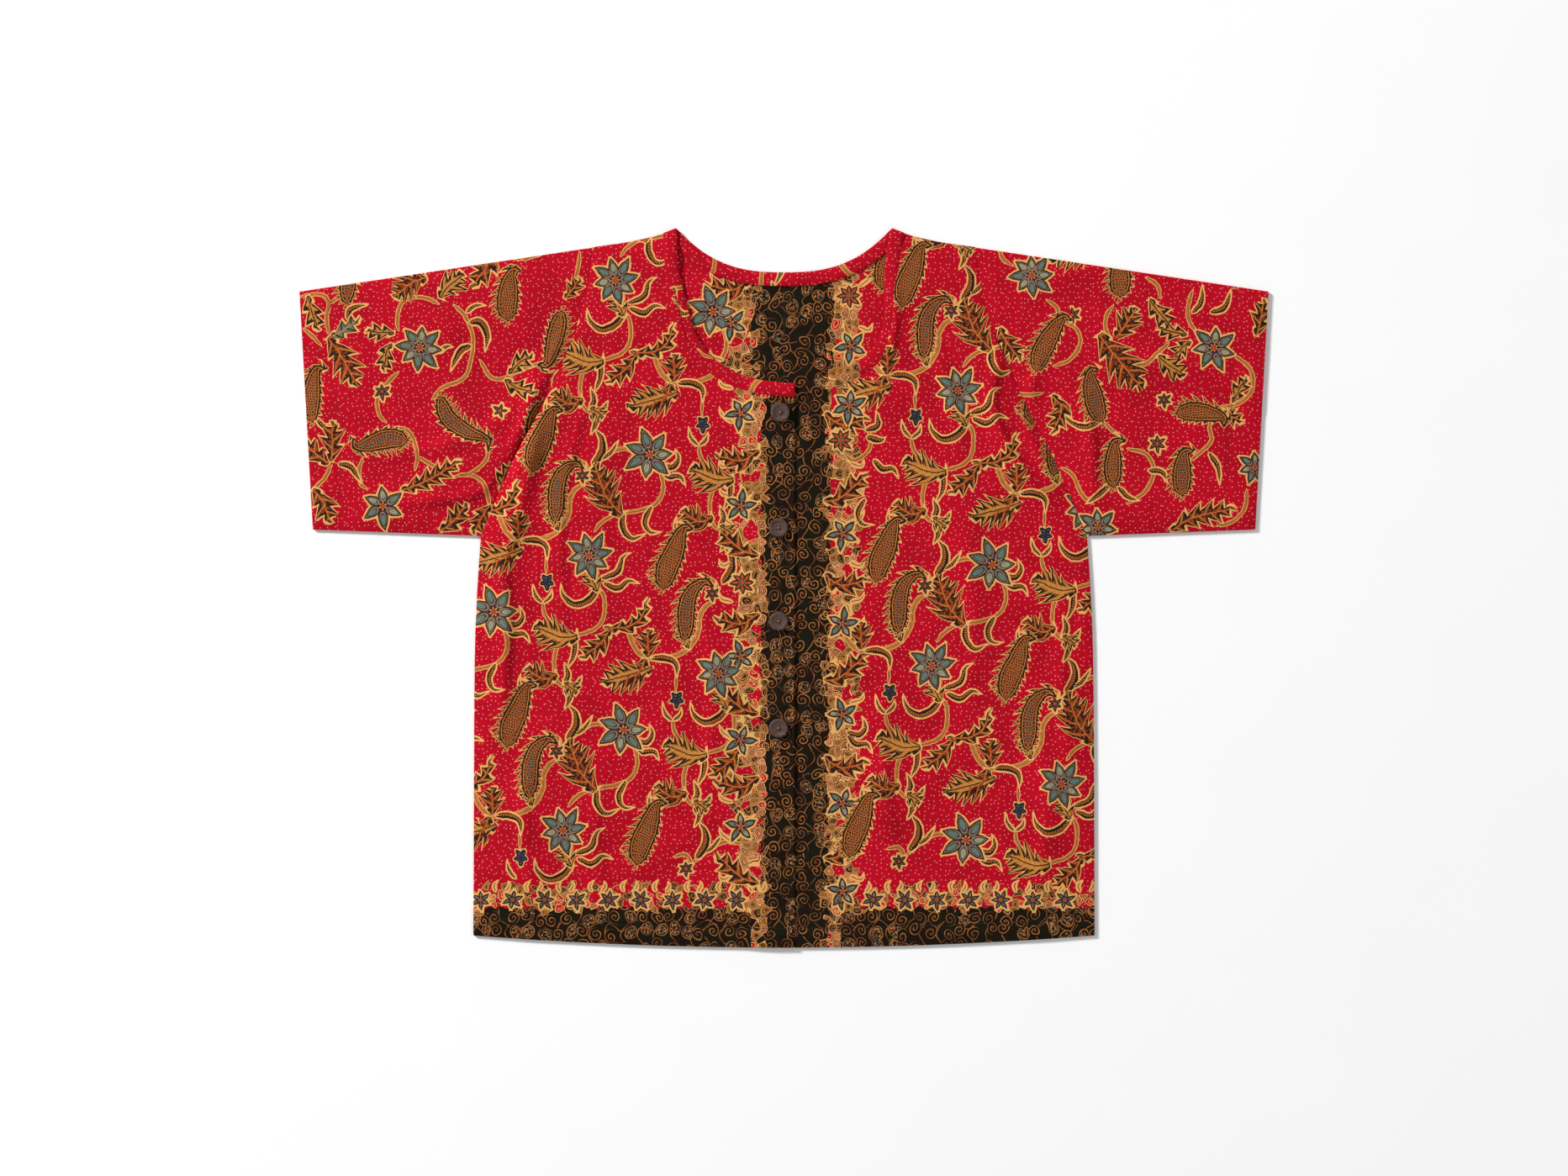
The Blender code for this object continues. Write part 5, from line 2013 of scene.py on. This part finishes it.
def print_of(node: str) -> Print:
    """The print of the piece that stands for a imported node."""
    if node == "right_front":
        red = repeated(0, 0, lambda x, y: x < 868 and y < REPEAT_FOOT)
        marks = red + lace_column(*FRONT_LACE[node]) + lace_row(572, 905)
        return Print(marks, Border((FRONT_EDGES[node],)))
    if node == "left_front":
        red = repeated(407, 131, lambda x, y: (x > 1016 and y < REPEAT_FOOT
                                               and not (x < 1062 and 510 < y < 556)))
        marks = red + NECK_BLOOM + lace_column(*FRONT_LACE[node]) + lace_row(1000, 1300)
        return Print(marks, Border((FRONT_EDGES[node],)))
    if node.startswith("back"):
        red = repeated(75, -170, lambda x, y: not 850 < x < 1032 and y < REPEAT_FOOT)
        laces = [mark for column in BACK_LACE for mark in lace_column(*column)]
        return Print(red + laces + lace_row(572, 1300), Border((BACK_BAND,)))
    if node in SLEEVES:
        own, first, head, shoulder = SLEEVES[node]
        run, fall = head[0] - shoulder[0], head[1] - shoulder[1]
        fold = repeated(*first, lambda x, y: y < shoulder[1] + fall * (x - shoulder[0]) / run - 14)
        return Print(own + fold, Border(hem=False))
    if node == "neck_binding_left":
        return Print(NECK_BLOOM[:1], Border((FRONT_EDGES["left_front"],), hem=False))
    plain = [mark for mark in repeated(30, 60, lambda x, y: True) if mark.motif in (Motif.VINE, Motif.HORN)]
    return Print(plain, Border(hem=False))


# Buttons and thread

@dataclass(frozen=True)
class Thread:
    """Twisted sewing thread: the finish's name, its colour, and the length of one twist in metres."""

    name: str
    dye: Dye
    twist: float = 0.5 * MM

    @cache
    def material(self) -> bpy.types.Material:
        """The material, with painted shade in the grooves of the twist."""
        surface = Surface(self.name)
        x, y, z = parts_of(surface.place)
        twist = ((x + y * 1.3 + z * 0.7) * (math.tau / self.twist)).sine() * 0.5 + 0.5
        fuzz = Speckle(900.0, 2.0).noise(surface.place)
        # Painted shade: the colour darkens towards the dark dye where the twist's relief is low, in the
        # grooves between the plies.
        colour = mixed(self.dye, Dye.DARK, (1.0 - twist) * 0.45 + fuzz * 0.15)
        return surface.finish(colour, 0.7 + fuzz * 0.2, height=twist, depth=0.06 * MM)


@dataclass(frozen=True)
class CoconutShell:
    """Turned, waxed coconut shell: dark, with short paler fibres this long, in metres."""

    fibre: float = 1.6 * MM

    def material(self) -> bpy.types.Material:
        """The material."""
        surface = Surface("coconut_shell_waxed")
        x, y, z = parts_of(surface.place)
        along = vector_of(x * 0.25, y, z)
        fibres = Speckle(1 / self.fibre, 3.0).noise(along)
        cloud = Speckle(160.0, 2.0).noise(surface.place)
        pits = Speckle(2200.0, 1.0).noise(along)
        colour = layered(Dye.SHELL, (Dye.SHELL_PALE, fibres.rise(0.52, 0.72) * 0.7),
                         (Dye.SHELL_DARK, cloud.rise(0.5, 0.75)),
                         (Dye.SHELL_DARK, pits.rise(0.62, 0.7) * 0.6))
        roughness = 0.52 + cloud * 0.18 + pits * 0.08
        return surface.finish(colour, roughness, 0.26, fibres * 0.6 + pits * 0.4, 0.05 * MM)


@dataclass
class Buttons:
    """The four coconut-shell buttons and the thread that holds each. Lengths are in metres.

    Attributes:
        radius: A button's radius.
        thickness: From its back to its rim.
        face: The radius inside the raised rim.
        dish: How deep the face lies.
        rim_round: How far the edges are rounded.
        hole: The radius of a sewing hole.
        hole_out: From the middle to a hole's middle.
        strand: The thread's radius.
        turns: How far each button is turned, in degrees.
    """

    radius: float = 7.5 * MM
    thickness: float = 3.1 * MM
    face: float = 4.6 * MM
    dish: float = 0.45 * MM
    rim_round: float = 0.9 * MM
    hole: float = 0.75 * MM
    hole_out: float = 1.55 * MM
    strand: float = 0.26 * MM
    turns: tuple[float, ...] = (43.0, 8.0, -17.0, 22.0)

    def shell(self) -> bpy.types.Object:
        """One button, its back on the ground at the middle of the scene."""
        bpy.ops.object.select_all(action="DESELECT")
        bpy.ops.mesh.primitive_cylinder_add(vertices=64, radius=self.radius, depth=self.thickness,
                                            location=(0, 0, self.thickness / 2))
        made = bpy.context.object
        self.select_top(made)
        bpy.ops.object.mode_set(mode="EDIT")
        for width, rise in ((self.radius - self.face - 0.7 * MM, 0.0), (0.8 * MM, -self.dish),
                            (1.6 * MM, -0.08 * MM)):
            bpy.ops.mesh.inset(thickness=width, depth=rise)
        bpy.ops.object.mode_set(mode="OBJECT")
        edge = made.modifiers.new("edge", "BEVEL")
        edge.width, edge.segments = self.rim_round, 4
        edge.limit_method, edge.angle_limit = "ANGLE", SHARP_TURN
        apply_modifiers(made)
        drill = self.drill()
        cutter = made.modifiers.new("holes", "BOOLEAN")
        cutter.operation, cutter.object = "DIFFERENCE", drill
        apply_modifiers(made)
        bpy.data.objects.remove(drill, do_unlink=True)
        select_only(made)
        bpy.ops.object.shade_smooth_by_angle(angle=math.radians(32))
        made.data.materials.append(CoconutShell().material())
        return made

    @staticmethod
    def select_top(made: bpy.types.Object) -> None:
        """Selects the faces that look straight up, and no others."""
        select_only(made)
        for kind in (made.data.vertices, made.data.edges, made.data.polygons):
            kind.foreach_set("select", [False] * len(kind))
        for polygon in made.data.polygons:
            polygon.select = polygon.normal.z > 0.99
        bpy.context.tool_settings.mesh_select_mode = (False, False, True)

    def drill(self) -> bpy.types.Object:
        """Four rods where the holes go, as one object."""
        rods, step = [], self.hole_out * math.sqrt(0.5)
        for x in (-step, step):
            for y in (-step, step):
                bpy.ops.mesh.primitive_cylinder_add(vertices=20, radius=self.hole, depth=4 * self.thickness,
                                                    location=(x, y, self.thickness / 2))
                rods.append(bpy.context.object)
        return joined(rods)

    def thread(self) -> bpy.types.Object:
        """Two crossed pairs of strands, each a ring through opposite holes and round the cloth."""
        strands, middle = [], self.thickness / 2
        stretch = Matrix.Diagonal((1, 1, (middle + 0.18 * MM) / self.hole_out, 1))
        for turn in (math.radians(45.0), math.radians(135.0)):
            for shift in (-self.strand * 1.05, self.strand * 1.05):
                bpy.ops.mesh.primitive_torus_add(
                    major_radius=self.hole_out, minor_radius=self.strand,
                    major_segments=28, minor_segments=8,
                    location=(-math.sin(turn) * shift, math.cos(turn) * shift, middle - 0.1 * MM),
                    rotation=(math.pi / 2, 0, turn))
                strands.append(bpy.context.object)
                bpy.ops.object.transform_apply()
                lift = Matrix.Translation((0, 0, middle))
                strands[-1].data.transform(lift @ stretch @ lift.inverted())
        made = joined(strands)
        bpy.ops.object.shade_smooth()
        made.data.materials.append(Thread("button_thread", Dye.THREAD_TAN).material())
        return made

    def build(self) -> None:
        """Makes one button and one knot of thread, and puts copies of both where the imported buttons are."""
        shell, thread = self.shell(), self.thread()
        for number, turn in enumerate(self.turns, 1):
            node = f"button_{number}"
            low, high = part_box(node)
            middle = ((low[0] + high[0]) / 2, (low[1] + high[1]) / 2, low[2])
            move = Matrix.Translation(middle) @ Matrix.Rotation(math.radians(turn), 4, "Z")
            button = copied(shell, f"coconut_button_{number}", move)
            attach(button, "root")
            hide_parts(node)
            strands = copied(thread, f"button_thread_{number}", move)
            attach(strands, "root")
        for helper in (shell, thread):
            bpy.data.objects.remove(helper, do_unlink=True)
        LOG.info("buttons: %d, with their thread", len(self.turns))


def joined(parts: list[bpy.types.Object]) -> bpy.types.Object:
    """Several objects made one, which stays selected alone."""
    select_only(parts[0])
    for part in parts:
        part.select_set(True)
    bpy.ops.object.join()
    bpy.ops.object.transform_apply()
    return parts[0]


def copied(pattern: bpy.types.Object, name: str, move: Matrix) -> bpy.types.Object:
    """A copy with its own mesh, moved within it."""
    mesh = pattern.data.copy()
    mesh.name = name
    mesh.transform(pattern.matrix_world)
    mesh.transform(move)
    return linked(name, mesh)


@dataclass
class Stitches:
    """Rows of machine stitches: one modelled, then copied along each row. Lengths are in metres.

    Attributes:
        pitch: From one stitch to the next.
        length: A stitch's length.
        radius: Half its width.
        proud: How far its middle lies above the cloth.
    """

    pitch: float = 3.1 * MM
    length: float = 2.5 * MM
    radius: float = 0.2 * MM
    proud: float = 0.01 * MM

    def one(self) -> bpy.types.Object:
        """A single stitch along x."""
        bpy.ops.object.select_all(action="DESELECT")
        bpy.ops.mesh.primitive_uv_sphere_add(segments=6, ring_count=6, radius=self.radius,
                                             rotation=(0, math.pi / 2, 0))
        made = bpy.context.object
        bpy.ops.object.transform_apply()
        bpy.ops.object.mode_set(mode="EDIT")
        bpy.ops.mesh.select_all(action="SELECT")
        bpy.ops.transform.resize(value=(self.length / (2 * self.radius), 1, 0.8))
        bpy.ops.object.mode_set(mode="OBJECT")
        return made

    def sew(self, cloth: bpy.types.Object, name: str, seams: list[np.ndarray],
            thread: Thread) -> bpy.types.Object:
        """Copies the stitch along rows on both sides of a cloth.

        Args:
            cloth: The cloth.
            name: The piece's name.
            seams: The rows, seen from above.
            thread: What it is sewn with.

        Returns:
            All the stitches as one piece.
        """
        pattern = self.one()
        corners = read(pattern.data.vertices, "co", float, 3).reshape(-1, 3)
        sides = [list(polygon.vertices) for polygon in pattern.data.polygons]
        bpy.data.objects.remove(pattern, do_unlink=True)
        tree = BVHTree.FromPolygons([vertex.co for vertex in cloth.data.vertices],
                                    [list(polygon.vertices) for polygon in cloth.data.polygons])
        points, faces = [], []
        for seam in seams:
            row = evened(seam, self.pitch / 2)
            for start, middle, end in zip(row[:-2:2], row[1:-1:2], row[2::2]):
                right, up = (end - start) / np.linalg.norm(end - start)
                turned = corners @ np.array([(right, up, 0), (-up, right, 0), (0, 0, 1)])
                for side in (1, -1):
                    hit = tree.ray_cast(Vector((*middle, 0.05 * side)), Vector((0, 0, -side)))[0]
                    if hit is not None:
                        faces += [[len(points) * len(corners) + index for index in face] for face in sides]
                        points.append(turned + (*middle, hit.z + side * self.proud))
        made = new_mesh(name, np.vstack(points), faces)
        made.data.shade_smooth()
        made.data.materials.append(thread.material())
        return made


# Light, floor and camera

@dataclass(frozen=True)
class Studio:
    """The camera over the shirt, the pale floor and the soft lamps.

    Attributes:
        height: The camera's height over the floor, in metres.
        sensor: The width of its sensor, in millimetres.
        floor_size: The floor's side, in metres.
        floor_tones: Its darkest and its palest tone.
        lamps: Each lamp's place, side and power in watts.
        sky: The strength of the even light from all round.
    """

    height: float = 2.5
    sensor: float = 36.0
    floor_size: float = 9.0
    floor_tones: tuple[float, float] = (0.95, 0.97)
    lamps: tuple[tuple[tuple[float, float, float], float, float], ...] = (
        ((-4.4, 3.5, 2.75), 1.1, 520.0),
        ((1.8, -1.2, 2.4), 1.8, 13.0),
    )
    sky: float = 0.38

    def build(self) -> None:
        """Adds the camera, the floor and the lamps."""
        self.add_camera()
        self.add_floor()
        for place, size, power in self.lamps:
            bpy.ops.object.light_add(type="AREA", location=place)
            lamp = bpy.context.object
            lamp.data.size, lamp.data.energy = size, power
            lamp.rotation_mode = "QUATERNION"
            lamp.rotation_quaternion = (-Vector(place)).to_track_quat("-Z", "Y")
        world = bpy.data.worlds.new("studio")
        world.use_nodes = True
        background = world.node_tree.nodes["Background"]
        background.inputs["Color"].default_value = (1, 1, 1, 1)
        background.inputs["Strength"].default_value = self.sky
        bpy.context.scene.world = world
        bpy.context.scene.view_settings.view_transform = "Standard"

    def add_camera(self) -> None:
        """Adds the camera, which looks straight down over the shirt's middle."""
        camera = bpy.data.cameras.new("camera")
        camera.sensor_width = self.sensor
        camera.lens = self.sensor * self.height / (PHOTO_WIDTH * PIXEL)
        made = linked("camera", camera)
        made.location = (0, 0, self.height)
        bpy.context.scene.camera = made

    def add_floor(self) -> None:
        """Adds the plain pale floor."""
        bpy.ops.mesh.primitive_plane_add(size=self.floor_size, location=(0, 0, -0.2 * MM))
        floor = bpy.context.object
        floor.name = "floor"
        bpy.ops.object.transform_apply()
        surface = Surface("pale_floor")
        dark, pale = ((tone, tone, tone, 1.0) for tone in self.floor_tones)
        tint = mixed(dark, pale, Speckle(9.0, 3.0).noise(surface.place))
        floor.data.materials.append(surface.finish(tint, 0.9, 0.2))


def main() -> None:
    """Builds the shirt piece by piece."""
    logging.basicConfig(level=logging.INFO, format="%(name)s: %(message)s")
    Studio().build()
    for piece in cut_pieces():
        made = piece.build()
        print_of(piece.node).dress(made)
        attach(made, "root")
        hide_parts(piece.node)
        sewn = []
        if piece.hems:
            at_foot = FOOT_HEM in piece.hems
            thread = (Thread("border_thread", Dye.BLACK) if at_foot
                      else Thread("ground_thread", Dye.THREAD_RED))
            sewn = [Stitches().sew(made, made.name.replace("cloth", "stitches"), piece.seams(), thread)]
            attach(sewn[0], "root")
        LOG.info("%s: %d faces", made.name, len(made.data.polygons))
    Buttons().build()


if __name__ == "__main__":
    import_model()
    main()
